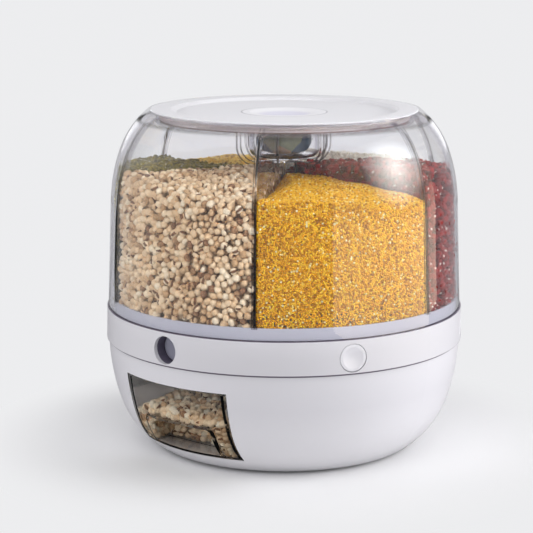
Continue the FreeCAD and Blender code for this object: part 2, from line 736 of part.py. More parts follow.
def gate_tray():
    plate = disc(TRAY_R, TRAY_LOW_Z, TRAY_TOP_Z)
    pad = tube(RACE_CIRCLE_R + RACE_W / 2 + 1, RACE_CIRCLE_R - RACE_W / 2 - 1, PAD_Z, TRAY_LOW_Z)
    rail_x = GATE_W / 2 + SLIDE
    rail = block(rail_x, rail_x + RAIL_W, -TRAY_R + RAIL_END, -GATE_INNER_R + TRAVEL,
                 TRAY_TOP_Z, GATE_TOP_Z)
    rails = around(rail) + around(rail.mirror(Vector(0, 0, 0), Vector(1, 0, 0)))
    stops = around(radial_block(STOP_W, STOP_R - STOP_T, STOP_R, TRAY_TOP_Z, TRAY_TOP_Z + TAB_H))
    tray = fused([plate, pad] + rails + stops)
    tray = tray.cut(disc(SPINDLE_R + RUN + HUB_SLEEVE_WALL + SEAT, TRAY_LOW_Z, TRAY_TOP_Z))
    half = OUTLET_L / 2 + SLIDE
    slot = radial_block(OUTLET_W + 2 * SLIDE, OUTLET_R - half, OUTLET_R + half, TRAY_LOW_Z, TRAY_TOP_Z)
    for copy in around(slot):
        tray = tray.cut(copy)
    for x, y in floor_screw_spots():
        tray = tray.cut(disc(SCREW_R + SEAT, TRAY_LOW_Z, TRAY_TOP_Z, x, y))
    return tray


def button_sleeves():
    bore = BUTTON_R + BUTTON_GAP
    outer = radial_cylinder(bore + SLEEVE_WALL, RING_IN_R - SLEEVE_L, RING_R, BUTTON_Z)
    inner = radial_cylinder(bore, RING_IN_R - SLEEVE_L, RING_R, BUTTON_Z)
    inside = disc(RING_IN_R - SEAT, RING_LOW_Z, RING_TOP_Z)
    return Part.makeCompound(around(outer.cut(inner).common(inside)))


def clear_dome():
    under_z = LEDGE_Z - MOUTH_LEDGE_T
    outer = DOME.edges(RING_TOP_Z, DOME_TOP_Z)
    inner = DOME.edges(RING_TOP_Z, under_z, DOME_WALL)
    mouth = [at(DOME.radius(DOME_TOP_Z), DOME_TOP_Z), at(MOUTH_R, DOME_TOP_Z), at(MOUTH_R, LEDGE_Z),
             at(COLLAR_R - COLLAR_WALL, LEDGE_Z), at(COLLAR_R - COLLAR_WALL, COLLAR_LOW_Z),
             at(COLLAR_R, COLLAR_LOW_Z), at(COLLAR_R, under_z),
             at(DOME.radius(under_z, DOME_WALL), under_z)]
    foot = [at(DOME.radius(RING_TOP_Z), RING_TOP_Z), at(DOME.radius(RING_TOP_Z, DOME_WALL), RING_TOP_Z)]
    shell = spun(outer + inner + polyline(mouth) + polyline(foot))
    ribs = []
    for side in (-1, 1):
        rib = slab(rib_section(FLOOR_RIM_Z + SEAM, under_z), RIB_T, side * (SLOT_W + RIB_T) / 2)
        ribs += around(rib, STEP_DEG / 2 - 90)
    return shell.fuse(ribs)


def slab(section, thickness, offset=0.0):
    face = Part.Face(Part.Wire(Part.__sortEdges__(section)))
    face.translate(Vector(0, offset - thickness / 2, 0))
    return face.extrude(Vector(0, thickness, 0))


def rib_section(z_low, z_high):
    near = DOME_WALL - RIB_ROOT
    far = DOME_WALL + RIB_DEPTH
    ends = [line(at(DOME.radius(z, near), z), at(DOME.radius(z, far), z)) for z in (z_low, z_high)]
    return DOME.edges(z_low, z_high, near) + DOME.edges(z_low, z_high, far) + ends


def cutout_edges(grow):
    r = CUTOUT_R + grow
    low = CUTOUT_LOW_Z - grow
    centre = (CUTOUT_R - CUTOUT_CORNER, CUTOUT_LOW_Z + CUTOUT_CORNER)
    corner = CUTOUT_CORNER + grow
    side = math.sqrt(0.5) * corner
    bend = Part.Arc(at(centre[0], low), at(centre[0] + side, centre[1] - side),
                    at(r, centre[1])).toShape()
    return [line(at(TUBE_R + SEAM, low), at(centre[0], low)), bend,
            line(at(r, centre[1]), at(r, DIVIDER_TOP_Z))]


def divider():
    inset = DOME_WALL + SEAM
    low_z = FLOOR_RIM_Z + SEAM
    wall = DOME.edges(low_z, DIVIDER_TOP_Z, inset)
    top = line(at(DOME.radius(DIVIDER_TOP_Z, inset), DIVIDER_TOP_Z), at(CUTOUT_R, DIVIDER_TOP_Z))
    hub_z = HUB_TOP_Z + TUBE_FLANGE_T + SEAM
    step_r = TUBE_FLANGE_R + SEAM
    bottom = [at(TUBE_R + SEAM, CUTOUT_LOW_Z), at(TUBE_R + SEAM, hub_z), at(step_r, hub_z),
              at(step_r, HUB_TOP_Z + SEAM)] + floor_line(SEAM) + [at(DOME.radius(low_z, inset), low_z)]
    plate = slab(wall + [top] + cutout_edges(0.0) + polyline(bottom), DIVIDER_T)
    plate = fillet_at(plate, DOME.radius(DIVIDER_TOP_Z, inset), DIVIDER_TOP_Z, DIVIDER_CORNER)
    ends = [line(at(TUBE_R + SEAM, CUTOUT_LOW_Z), at(TUBE_R + SEAM, CUTOUT_LOW_Z - BEAD_W)),
            line(at(CUTOUT_R, DIVIDER_TOP_Z), at(CUTOUT_R + BEAD_W, DIVIDER_TOP_Z))]
    bead = slab(cutout_edges(0.0) + cutout_edges(BEAD_W) + ends, BEAD_T)
    return fused([plate, bead])


def fillet_at(solid, r, z, radius):
    edges = [e for e in solid.Edges
             if abs(e.Vertexes[0].X - r) < NEAR and abs(e.Vertexes[0].Z - z) < NEAR
             and abs(e.Vertexes[-1].X - r) < NEAR and abs(e.Vertexes[-1].Z - z) < NEAR]
    return solid.makeFillet(radius, edges)


def centre_tube():
    top = CUTOUT_LOW_Z
    bore = TUBE_R - TUBE_WALL
    plug_r = HUB_WELL_R - SEAM
    plug_z = HUB_TOP_Z - TUBE_PLUG_H
    flange_z = HUB_TOP_Z + TUBE_FLANGE_T
    outline = [at(bore, HUB_TOP_Z), at(bore, top - TUBE_WALL), at(0, top - TUBE_WALL), at(0, top),
               at(TUBE_R, top), at(TUBE_R, flange_z), at(TUBE_FLANGE_R, flange_z),
               at(TUBE_FLANGE_R, HUB_TOP_Z), at(plug_r, HUB_TOP_Z), at(plug_r, plug_z),
               at(plug_r - TUBE_WALL, plug_z), at(plug_r - TUBE_WALL, HUB_TOP_Z)]
    ribs = []
    for side in (-1, 1):
        y = side * (SLOT_W + RIB_T) / 2
        rib = block(TUBE_R - TUBE_WALL / 2, TUBE_R + TUBE_RIB_DEPTH, y - RIB_T / 2, y + RIB_T / 2,
                    flange_z, CUTOUT_LOW_Z - BEAD_W - SEAM)
        ribs += around(rib, STEP_DEG / 2 - 90)
    return spun_polygon(outline).fuse(ribs)


# Buttons and gates, drawn at the front and let out

def button():
    bore = BUTTON_R - BUTTON_WALL
    cap = radial_cylinder(BUTTON_R, BUTTON_BACK_R, BUTTON_FACE_R, BUTTON_Z)
    front = [e for e in cap.Edges if abs(e.BoundBox.YMin + BUTTON_FACE_R) < NEAR
             and abs(e.BoundBox.YMax + BUTTON_FACE_R) < NEAR]
    cap = cap.makeFillet(BUTTON_EDGE, front)
    cap = cap.cut(radial_cylinder(bore, BUTTON_BACK_R, BUTTON_FACE_R - BUTTON_FACE_T, BUTTON_Z))
    ball_r = (BUTTON_DISH_R ** 2 + BUTTON_DISH_DEPTH ** 2) / (2 * BUTTON_DISH_DEPTH)
    ball_y = -(BUTTON_FACE_R - BUTTON_DISH_DEPTH + ball_r)
    cap = cap.cut(Part.makeSphere(ball_r, Vector(0, ball_y, BUTTON_Z)))
    stem = radial_block(STEM_W, BUTTON_BACK_R - STEM_L, BUTTON_FACE_R - BUTTON_FACE_T,
                        GATE_LOW_Z, GATE_LOW_Z + STEM_H)
    return fused([cap, stem])


def gate():
    half = OUTLET_L / 2 + SLIDE / 2
    slot_mid = OUTLET_R + TRAVEL
    wide_end = slot_mid + half + GATE_LIP
    plate = radial_block(GATE_W, GATE_INNER_R, wide_end, GATE_LOW_Z, GATE_TOP_Z)
    neck = radial_block(STEM_W, wide_end - 1, BUTTON_BACK_R - STEM_L, GATE_LOW_Z, GATE_TOP_Z)
    tab = radial_block(TAB_W, GATE_INNER_R, GATE_INNER_R + TAB_T, GATE_LOW_Z, GATE_LOW_Z + TAB_H)
    slot = radial_block(OUTLET_W + SLIDE, slot_mid - half, slot_mid + half, GATE_LOW_Z, GATE_TOP_Z)
    return fused([plate, neck, tab]).cut(slot)


def spring(squeeze):
    z = TRAY_TOP_Z + SLIDE + SPRING_R
    far = GATE_INNER_R - squeeze - SEAT
    outer = radial_cylinder(SPRING_R, STOP_R + SEAT, far, z)
    return outer.cut(radial_cylinder(SPRING_R - SPRING_WIRE, STOP_R + SEAT, far, z))


# Lid and moisture box

def dish_points(drop, r):
    ball_r = (DISH_R ** 2 + DISH_DEPTH ** 2) / (2 * DISH_DEPTH)
    centre_z = LID_FLAT_Z - DISH_DEPTH + ball_r
    return at(r, centre_z - math.sqrt((ball_r + drop) ** 2 - r ** 2))


def lid():
    rim_in = LID_R - LID_RIM_W
    flat_r = rim_in - LID_SLOPE_W
    skirt_out = SEAL_OUT_R - SEAL_PROUD
    skirt_in = skirt_out - SKIRT_WALL
    skirt_z = LID_UNDER_Z - SKIRT_H
    hole_r = CUP_R + CUP_GAP
    boss_r = CAP_R + CAP_BOSS_WALL
    rebate_z = LID_FLAT_Z - CAP_FLANGE_T
    outline = [at(LID_R, LID_UNDER_Z), at(LID_R, LID_TOP_Z), at(rim_in, LID_TOP_Z),
               at(flat_r, LID_FLAT_Z), at(CAP_R + SEAM, LID_FLAT_Z), at(CAP_R + SEAM, rebate_z),
               at(hole_r, rebate_z), at(hole_r, rebate_z - LID_T), at(boss_r, rebate_z - LID_T),
               at(boss_r, LID_FLAT_Z - LID_T), at(flat_r, LID_FLAT_Z - LID_T),
               at(rim_in, LID_TOP_Z - LID_T), at(skirt_in, LID_TOP_Z - LID_T),
               at(skirt_in, skirt_z), at(skirt_out, skirt_z)]
    groove_r = skirt_out - SEAL_PROUD
    outline += [at(skirt_out, SEAL_LOW_Z - SEAT), at(groove_r, SEAL_LOW_Z - SEAT),
                at(groove_r, SEAL_LOW_Z + SEAL_H + SEAT), at(skirt_out, SEAL_LOW_Z + SEAL_H + SEAT),
                at(skirt_out, LID_UNDER_Z)]
    plate = spun_polygon(outline)
    return round_circles(plate, [(LID_R, LID_TOP_Z, LID_EDGE_ROUND), (rim_in, LID_TOP_Z, LID_SOFT_ROUND),
                                 (flat_r, LID_FLAT_Z, LID_SOFT_ROUND)])


def round_circles(solid, wanted):
    for r, z, radius in wanted:
        edges = [e for e in solid.Edges if hasattr(e.Curve, "Radius")
                 and abs(e.Curve.Radius - r) < NEAR and abs(e.BoundBox.ZMin - z) < NEAR
                 and abs(e.BoundBox.ZMax - z) < NEAR]
        solid = solid.makeFillet(radius, edges)
    return solid


def lid_seal():
    groove_r = SEAL_OUT_R - 2 * SEAL_PROUD + SEAT
    return round_circles(tube(SEAL_OUT_R, groove_r, SEAL_LOW_Z, SEAL_LOW_Z + SEAL_H),
                         [(SEAL_OUT_R, SEAL_LOW_Z, SEAL_ROUND),
                          (SEAL_OUT_R, SEAL_LOW_Z + SEAL_H, SEAL_ROUND)])


def desiccant_cap():
    skirt_out = CUP_R - CUP_WALL - SEAM
    skirt_in = skirt_out - CAP_WALL
    flange_z = LID_FLAT_Z - CAP_FLANGE_T + SEAT
    top = [dish_points(0.0, r) for r in (0.0, DISH_R / 2, DISH_R)]
    below = [dish_points(CAP_WALL, r) for r in (0.0, skirt_in / 2, skirt_in)]
    edges = [Part.Arc(*top).toShape(), Part.Arc(*below).toShape()]
    skirt_z = flange_z - CAP_SKIRT_H
    edges += polyline([top[2], at(CAP_R, LID_FLAT_Z), at(CAP_R, flange_z), at(skirt_out, flange_z),
                       at(skirt_out, skirt_z), at(skirt_in, skirt_z), below[2]])
    edges += [line(top[0], below[0])]
    return spun(edges)


def desiccant_cup():
    outer = round_circles(disc(CUP_R, CUP_LOW_Z, CUP_TOP_Z), [(CUP_R, CUP_LOW_Z, CUP_CORNER)])
    bore = CUP_R - CUP_WALL
    floor = CUP_LOW_Z + CUP_WALL
    inner = round_circles(disc(bore, floor, CUP_TOP_Z), [(bore, floor, CUP_CORNER - CUP_WALL)])
    return outer.cut(inner)


def desiccant_sachet():
    r = CUP_R - CUP_WALL - SACHET_GAP
    low = CUP_LOW_Z + CUP_WALL + SEAM
    return round_circles(disc(r, low, low + SACHET_H),
                         [(r, low, SACHET_CORNER), (r, low + SACHET_H, SACHET_CORNER)])


# Receiving box

def box_flank(inset):
    return flank_solid(BOWL, BOX_TOP_Z, BOX_LOW_Z, inset)


def notch_block(grow, z_low):
    front = -BOWL_TOP_R - BEYOND
    half = NOTCH_W / 2 + grow
    top = WINDOW_LOW_Z + NOTCH_H + grow
    shape = block(-half, half, front, -NOTCH_BACK_R + grow, z_low, top)
    edges = [e for e in shape.Edges if abs(e.BoundBox.ZMin - top) < NEAR and e.BoundBox.XLength < NEAR
             and abs(abs(e.BoundBox.XMin) - half) < NEAR]
    return shape.makeFillet(NOTCH_CORNER + grow, edges)


def box_cavity(gap):
    half = BOX_HALF_W - BOX_WALL - gap
    room = block(-half, half, -BOWL_TOP_R, -BOX_BACK_R - BOX_WALL - gap,
                 BOX_LOW_Z + BOX_WALL + gap, BOX_TOP_Z)
    return room.common(box_flank(BOX_WALL + gap))


def receiving_box():
    outer = box_flank(0.0)
    front = outer.common(window_prism(WINDOW_GAP, BOX_LOW_Z, BOX_TOP_Z)).cut(box_flank(BOX_WALL))
    body = block(-BOX_HALF_W, BOX_HALF_W, -BOWL_TOP_R, -BOX_BACK_R, BOX_LOW_Z, BOX_TOP_Z - BOX_BODY_DROP)
    box = fused([body.common(outer).cut(box_cavity(0.0)), front])
    box = fused([box, notch_block(BOX_WALL, BOX_LOW_Z).common(outer)])
    return box.cut(notch_block(0.0, BOX_LOW_Z + BOX_WALL))


def box_grain():
    front, back = -BOWL_TOP_R, -BOX_BACK_R
    low = BOX_LOW_Z
    half = BOX_HALF_W
    side = [Vector(-half, front, low), Vector(-half, back, low),
            Vector(-half, back, low + BOX_GRAIN_BACK_H), Vector(-half, front, low + BOX_GRAIN_FRONT_H)]
    heap = Part.Face(Part.Wire(polyline(side + side[:1]))).extrude(Vector(2 * half, 0, 0))
    heap = heap.common(box_cavity(GRAIN_GAP))
    return heap.cut(notch_block(BOX_WALL + GRAIN_GAP, BOX_LOW_Z))


# Grain in the compartments

def fill(wall_z, crest_z, bearing):
    inset = DOME_WALL + GRAIN_GAP
    low_z = FLOOR_RIM_Z + GRAIN_GAP
    tube_r = TUBE_R + GRAIN_GAP
    hub_z = HUB_TOP_Z + TUBE_FLANGE_T + GRAIN_GAP
    step_r = TUBE_FLANGE_R + GRAIN_GAP
    under_cup = min(crest_z, CUP_LOW_Z - FILL_BELOW_CUP)
    top = [at(DOME.radius(wall_z, inset), wall_z), at(CREST_R, crest_z), at(CUP_R + CUP_GAP, under_cup),
           at(tube_r, min(under_cup, CUTOUT_LOW_Z - BEAD_W)), at(tube_r, hub_z), at(step_r, hub_z),
           at(step_r, HUB_TOP_Z + GRAIN_GAP)]
    bottom = floor_line(GRAIN_GAP) + [at(DOME.radius(low_z, inset), low_z)]
    edges = DOME.edges(low_z, wall_z, inset) + polyline(top + bottom)
    heap = turned(spun(edges, STEP_DEG), bearing - 90 - STEP_DEG / 2)
    half = RIB_HALF + GRAIN_GAP
    for side in (-1, 1):
        wall = radial_block(2 * half, 0, RING_R, TRAY_TOP_Z, DOME_TOP_Z)
        heap = heap.cut(turned(wall, bearing + side * STEP_DEG / 2))
    return heap


# Everything in its place

def inward(shape, bearing, distance):
    x, y = on_circle(distance, bearing)
    return shape.translated(Vector(-x, -y, 0))


def make_base():
    SHAPES["base_bowl"] = base_bowl()
    SHAPES["rubber_feet"] = rubber_feet()
    SHAPES["box_cradle"] = box_cradle()
    SHAPES["cradle_screws"] = cradle_screws()
    SHAPES["base_deck"] = base_deck()
    SHAPES["deck_screws"] = deck_screws()
    SHAPES["spindle"] = spindle()
    SHAPES["spindle_screws"] = spindle_screws()
    SHAPES["retaining_washer"] = retaining_washer()
    SHAPES["retaining_screw"] = retaining_screw()
    SHAPES["lower_race"] = race(DECK_TOP_Z)


def make_drum():
    SHAPES["drum_ring"] = drum_ring()
    SHAPES["hopper_floor"] = hopper_floor()
    SHAPES["gate_tray"] = gate_tray()
    SHAPES["upper_race"] = race(UPPER_RACE_Z)
    SHAPES["floor_screws"] = floor_screws()
    SHAPES["ring_screws"] = ring_screws()
    SHAPES["button_sleeves"] = button_sleeves()
    SHAPES["clear_dome"] = clear_dome()
    SHAPES["centre_tube"] = centre_tube()
    panel = divider()
    for i in range(COMPARTMENTS):
        SHAPES["divider_%d" % (i + 1)] = turned(panel, STEP_DEG / 2 + i * STEP_DEG - 90)


def make_compartments():
    cap, plate = button(), gate()
    for i in range(COMPARTMENTS):
        bearing = i * STEP_DEG
        pressed = TRAVEL if i == PRESSED_BUTTON - 1 else 0.0
        SHAPES["button_%d" % (i + 1)] = inward(turned(cap, bearing), bearing, pressed)
        SHAPES["gate_%d" % (i + 1)] = inward(turned(plate, bearing), bearing, pressed)
        SHAPES["spring_%d" % (i + 1)] = turned(spring(pressed), bearing)
        name, wall_z, crest_z = HEAPS[i]
        SHAPES[name] = fill(RING_TOP_Z + wall_z, RING_TOP_Z + crest_z, bearing)


def main():
    make_base()
    SHAPES["ball_cage"] = ball_cage()
    SHAPES["bearing_balls"] = bearing_balls()
    make_drum()
    make_compartments()
    SHAPES["lid"] = lid()
    SHAPES["lid_seal"] = lid_seal()
    SHAPES["desiccant_cap"] = desiccant_cap()
    SHAPES["desiccant_cup"] = desiccant_cup()
    SHAPES["desiccant_sachet"] = desiccant_sachet()
    SHAPES["receiving_box"] = receiving_box()
    SHAPES["box_grain"] = box_grain()
    os.makedirs("parts", exist_ok=True)
    for name, shape in SHAPES.items():
        shape.exportStep("parts/%s.step" % name)
        print(name, len(shape.Solids), round(shape.Volume), shape.isValid())


main()
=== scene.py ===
# %% [markdown]
# # Rotating food dispenser
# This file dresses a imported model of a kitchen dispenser: a clear drum with six
# compartments of grain turns on a white bowl, and a pull-out box under it catches what
# the buttons let out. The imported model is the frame, so every piece here is made at
# the place the frame gives it, in metres, with the window of the box towards -Y.

# %% Load the frame
import json
import math
import bmesh
import bpy
import numpy as np
from mathutils import Matrix, Vector, kdtree


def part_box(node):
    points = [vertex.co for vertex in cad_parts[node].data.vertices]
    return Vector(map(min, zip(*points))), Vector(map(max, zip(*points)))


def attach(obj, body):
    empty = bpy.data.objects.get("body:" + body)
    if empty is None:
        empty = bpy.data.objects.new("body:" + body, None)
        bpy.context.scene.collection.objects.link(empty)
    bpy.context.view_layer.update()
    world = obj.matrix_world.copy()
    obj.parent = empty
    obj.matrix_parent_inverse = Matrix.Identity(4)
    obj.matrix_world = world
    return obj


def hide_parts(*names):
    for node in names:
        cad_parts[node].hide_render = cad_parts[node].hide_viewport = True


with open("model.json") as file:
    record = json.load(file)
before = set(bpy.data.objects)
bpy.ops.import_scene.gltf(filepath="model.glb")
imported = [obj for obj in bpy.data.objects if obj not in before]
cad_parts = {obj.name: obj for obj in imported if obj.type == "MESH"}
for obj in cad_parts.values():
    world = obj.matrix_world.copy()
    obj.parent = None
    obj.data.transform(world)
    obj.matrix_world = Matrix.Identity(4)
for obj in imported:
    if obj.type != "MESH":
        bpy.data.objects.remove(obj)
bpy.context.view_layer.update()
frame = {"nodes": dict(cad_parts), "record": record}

NODES = frame["nodes"]
MM = 0.001

# %% [markdown]
# ## Camera
# The photograph was taken from a little above the lid with a long lens, which keeps
# the rims of the drum nearly parallel. The numbers come from solving where the rims of
# the lid, the ring and the bowl lie in the picture. Bearings around the dispenser are
# counted from -Y towards +X, and the camera stands at the bearing VIEW_BEARING.

# %% The camera
VIEW_BEARING = 38.9
bpy.ops.object.camera_add(location=(0.8556, -1.0604, 0.4119),
                          rotation=(math.radians(78.61), 0.0, math.radians(39.48)))
camera = bpy.context.object
camera.data.lens = 118.86
camera.data.sensor_width = 36.0
bpy.context.scene.camera = camera
print("camera at", [round(v, 3) for v in camera.location])

# %% [markdown]
# ## Nodes in a few words
# Every material here is a tree of nodes. The helpers add a node and feed its inputs in
# one line, so that the trees below read as a list of what they do. An input is fed with
# a plain value, which is set, or with the output of another node, which is linked.

# %% Helpers for nodes
def feed(made, *values, **named):
    """Feeds inputs of a node, by their order or by their names."""
    pairs = [*zip(made.inputs, values),
             *((made.inputs[key.replace("_", " ")], value) for key, value in named.items())]
    for socket, value in pairs:
        if isinstance(value, bpy.types.NodeSocket):
            made.id_data.links.new(value, socket)
        else:
            socket.default_value = value
    return made


def node(tree, kind, *values, **settings):
    """Adds a node. Settings with a capital feed inputs, the others are properties."""
    made = tree.nodes.new("ShaderNode" + kind)
    for key in [key for key in settings if key[0].islower()]:
        setattr(made, key, settings.pop(key))
    return feed(made, *values, **settings)


def calc(tree, operation, *values, **settings):
    """What a Math node puts out."""
    return node(tree, "Math", *values, operation=operation, **settings).outputs[0]


def map_range(tree, value, start, end, low=0.0, high=1.0, run="LINEAR"):
    """Low where the value is at start, high where it is at end, and a run between."""
    return node(tree, "MapRange", value, start, end, low, high, interpolation_type=run).outputs[0]


def colour(r, g, b):
    return (r, g, b, 1.0)


def mix_colour(tree, share, first, second):
    """The first colour where share is 0, the second where it is 1."""
    return node(tree, "Mix", data_type="RGBA", Factor=share, A=first, B=second).outputs["Result"]


def ramp(tree, value, stops, interpolation="LINEAR"):
    """A colour by value, through stops of (value, colour)."""
    made = node(tree, "ValToRGB", value)
    made.color_ramp.interpolation = interpolation
    marks = made.color_ramp.elements
    for mark, (at, tint) in ((marks[0], stops[0]), (marks[1], stops[-1])):
        mark.position, mark.color = at, colour(*tint)
    for at, tint in stops[1:-1]:
        marks.new(at).color = colour(*tint)
    return made.outputs["Color"]


def here(tree):
    """The place on the piece, in Object coordinates, which move with the piece."""
    return node(tree, "TexCoord").outputs["Object"]


def measured(tree):
    """X, Y and Z of the place on the piece, and R, its distance from the drum's axis."""
    place = here(tree)
    split = node(tree, "SeparateXYZ", place).outputs
    flat = node(tree, "VectorMath", place, (1, 1, 0), operation="MULTIPLY").outputs["Vector"]
    radius = node(tree, "VectorMath", flat, operation="LENGTH").outputs["Value"]
    return {"X": split["X"], "Y": split["Y"], "Z": split["Z"], "R": radius}


def new_material(name):
    """A material, its tree and its Principled shader."""
    material = bpy.data.materials.new(name)
    material.use_nodes = True
    return material, material.node_tree, material.node_tree.nodes["Principled BSDF"]


print("node helpers ready")

# %% [markdown]
# ## Light
# A product table like this one is lit by a pale room, which is the world here, by a large
# key light from the right, a weaker one from the left and one from above the camera. The
# world keeps its full brightness for what is seen through plastic, and gives less of it
# as light, so that the lamps can still model the forms. In a mirror the room is dark on
# the camera's side, as where black flags stand round a camera, and bright straight behind
# the object: the drum then mirrors no veil over its grain, while its rims stay pale.

# %% The room
ROOM_GREY = colour(0.84, 0.84, 0.85)
ROOM_LEVELS = (("Is Camera Ray", 1.0), ("Is Transmission Ray", 1.0), ("Is Diffuse Ray", 0.65))
FLAG_LEVEL = 0.1
BEHIND_FROM, BEHIND_TO = 0.84, 0.95
SIN_VIEW, COS_VIEW = math.sin(math.radians(VIEW_BEARING)), math.cos(math.radians(VIEW_BEARING))


def behind(tree, way, low, high):
    """A value that runs from low to high where way points away from the camera's side."""
    unit = node(tree, "VectorMath", way, operation="NORMALIZE").outputs["Vector"]
    away = (-SIN_VIEW, COS_VIEW, 0.0)
    along = node(tree, "VectorMath", unit, away, operation="DOT_PRODUCT").outputs["Value"]
    return map_range(tree, along, BEHIND_FROM, BEHIND_TO, low, high, run="SMOOTHSTEP")


world = bpy.data.worlds.new("room")
bpy.context.scene.world = world
world.use_nodes = True
tree = world.node_tree
rays = node(tree, "LightPath").outputs
way = node(tree, "TexCoord").outputs["Generated"]
level = calc(tree, "MULTIPLY", rays["Is Glossy Ray"], behind(tree, way, FLAG_LEVEL, 1.0))
for ray, share in ROOM_LEVELS:
    level = calc(tree, "MULTIPLY_ADD", rays[ray], share, level)
feed(tree.nodes["Background"], Color=ROOM_GREY, Strength=level)
bpy.context.scene.view_settings.view_transform = "Standard"
print("room levels", ROOM_LEVELS)

# %% [markdown]
# The lamps are area lights, as soft boxes are, and light without being seen. Three large
# ones model the forms and a low one lights the bowl. The clear walls shade the grain, so
# narrow beams lift it: two for the drum and one for the window of the box.

# %% Soft boxes
MIDDLE = (0.0, 0.0, 0.15)
WIDE = 180


def around_view(azimuth, elevation, distance):
    """A place at an azimuth from the camera's own bearing, positive to the right."""
    bearing = math.radians(VIEW_BEARING + azimuth)
    rise = math.radians(elevation)
    away = Vector((math.sin(bearing) * math.cos(rise), -math.cos(bearing) * math.cos(rise),
                   math.sin(rise)))
    return Vector(MIDDLE) + away * distance


def soft_box(name, place, aim, width, height, brightness, spread):
    """An area light that faces aim. Its power is its brightness times its area."""
    bpy.ops.object.light_add(type="AREA", location=place)
    lamp = bpy.context.object
    lamp.name = name
    lamp.rotation_euler = (Vector(aim) - Vector(place)).to_track_quat("-Z", "Y").to_euler()
    lamp.data.shape = "RECTANGLE"
    lamp.data.size, lamp.data.size_y = width, height
    lamp.data.energy = brightness * math.pi * width * height
    lamp.data.spread = math.radians(spread)
    lamp.visible_camera = lamp.visible_glossy = lamp.visible_transmission = False


for lamp in (
        # name, place, aim, width, height, brightness, spread in degrees
        ("key_right", around_view(88, 9, 1.3), MIDDLE, 1.0, 1.2, 5.3, WIDE),
        ("fill_left", around_view(-100, 5, 1.3), MIDDLE, 0.8, 1.2, 2.3, WIDE),
        ("front_above", around_view(-10, 55, 1.5), MIDDLE, 1.2, 1.2, 1.8, WIDE),
        ("front_low", around_view(-50, 5, 1.4), (0.0, 0.0, 0.05), 0.8, 0.4, 1.4, WIDE),
        ("drum_beam_left", around_view(-48, 12, 1.2), (0.0, 0.0, 0.184), 0.34, 0.16, 0.50, 4),
        ("drum_beam_right", around_view(60, 12, 1.2), (0.0, 0.0, 0.188), 0.34, 0.15, 0.60, 4),
        ("window_beam", (0.05, -0.75, 0.10), (-0.011, -0.09, 0.039), 0.080, 0.027, 2.0, 1.2)):
    soft_box(*lamp)

# %% [markdown]
# The clear drum mirrors bright boards at its two sides as pale hazes. The boards stand
# where their mirror images fall on the drum in the photograph: on the right a haze with a
# sharp upright edge, on the left one that fades towards the middle, and a small hot spot
# near the shoulder. They are seen in mirrors only, so the lamps above stay free.

# %% Boards that the drum mirrors
HAZE_TINT, SPOT_TINT = colour(1.0, 0.88, 0.70), colour(0.96, 1.0, 0.96)
RIGHT_LOW, RIGHT_HIGH, LEFT_HAZE, HOT_SPOT, SPOT_POWER = 2.7, 0.85, 0.8, 20.0, 1.3
BOARD_HEIGHT, SPOT_RADIUS, SPOT_Z, SHOULDER_Z = 0.85, 0.24, 0.3965, 0.234


def glow_on(board, along, low, high, power=1.0, tint=HAZE_TINT):
    """Emission from low to high; each is (place, brightness) along U, V or to the middle."""
    material, tree, shader = new_material(board.name)
    tree.nodes.remove(shader)
    place = node(tree, "TexCoord").outputs["UV"]
    if along == "middle":
        moved = node(tree, "Mapping", place, Location=(-1.0, -1.0, 0.0), Scale=(2.0, 2.0, 1.0))
        ball = node(tree, "TexGradient", moved.outputs["Vector"], gradient_type="SPHERICAL")
        place = calc(tree, "POWER", ball.outputs["Fac"], power)
    else:
        place = node(tree, "SeparateXYZ", place).outputs["X" if along == "U" else "Y"]
    level = map_range(tree, place, low[0], high[0], low[1], high[1])
    glow = node(tree, "Emission", Color=tint, Strength=level)
    feed(tree.nodes["Material Output"], Surface=glow.outputs["Emission"])
    material.cycles.emission_sampling = "NONE"
    board.data.materials.append(material)
    board.visible_camera = board.visible_diffuse = board.visible_transmission = False
    board.visible_shadow = board.visible_volume_scatter = False


def turned_view(x, y, z=0.0):
    """A place beside the dispenser as the camera sees it: x to the right, y away."""
    return Vector((x * COS_VIEW - y * SIN_VIEW, x * SIN_VIEW + y * COS_VIEW, z))


def mirror_board(name, near, far, along, low, high):
    """An upright board between two floor places, with its glow along U or up V."""
    bpy.ops.mesh.primitive_plane_add(size=1.0)
    board = bpy.context.object
    board.name = name
    for vertex in board.data.vertices:
        foot = near.lerp(far, vertex.co.x + 0.5)
        vertex.co = (foot.x, foot.y, (vertex.co.y + 0.5) * BOARD_HEIGHT)
    glow_on(board, along, low, high)


mirror_board("board_right", turned_view(0.404, -0.744), turned_view(0.752, 0.236),
             "V", (0.12, RIGHT_LOW), (0.35, RIGHT_HIGH))
mirror_board("board_left", turned_view(-0.647, -0.529), turned_view(-0.766, 0.200),
             "U", (0.0, 0.0), (1.0, LEFT_HAZE))
bpy.ops.mesh.primitive_circle_add(vertices=32, radius=SPOT_RADIUS, fill_type="NGON")
spot = bpy.context.object
spot.name = "board_hot_spot"
spot_place = turned_view(0.4955, -0.149, SPOT_Z)
shoulder = turned_view(0.079, -0.100, SHOULDER_Z)
spot.data.transform((spot_place - shoulder).to_track_quat("Z", "Y").to_matrix().to_4x4())
spot.data.transform(Matrix.Translation(spot_place))
glow_on(spot, "middle", (0.0, RIGHT_HIGH), (1.0, RIGHT_HIGH + HOT_SPOT), SPOT_POWER, SPOT_TINT)

# %% [markdown]
# ## Floor
# The floor is one large pale sheet. Near the dispenser it is a real surface that catches
# the soft shadow under the bowl. Farther out the camera sees it pass over into the one
# flat grey of a studio backdrop, while it still gives light back like paper.

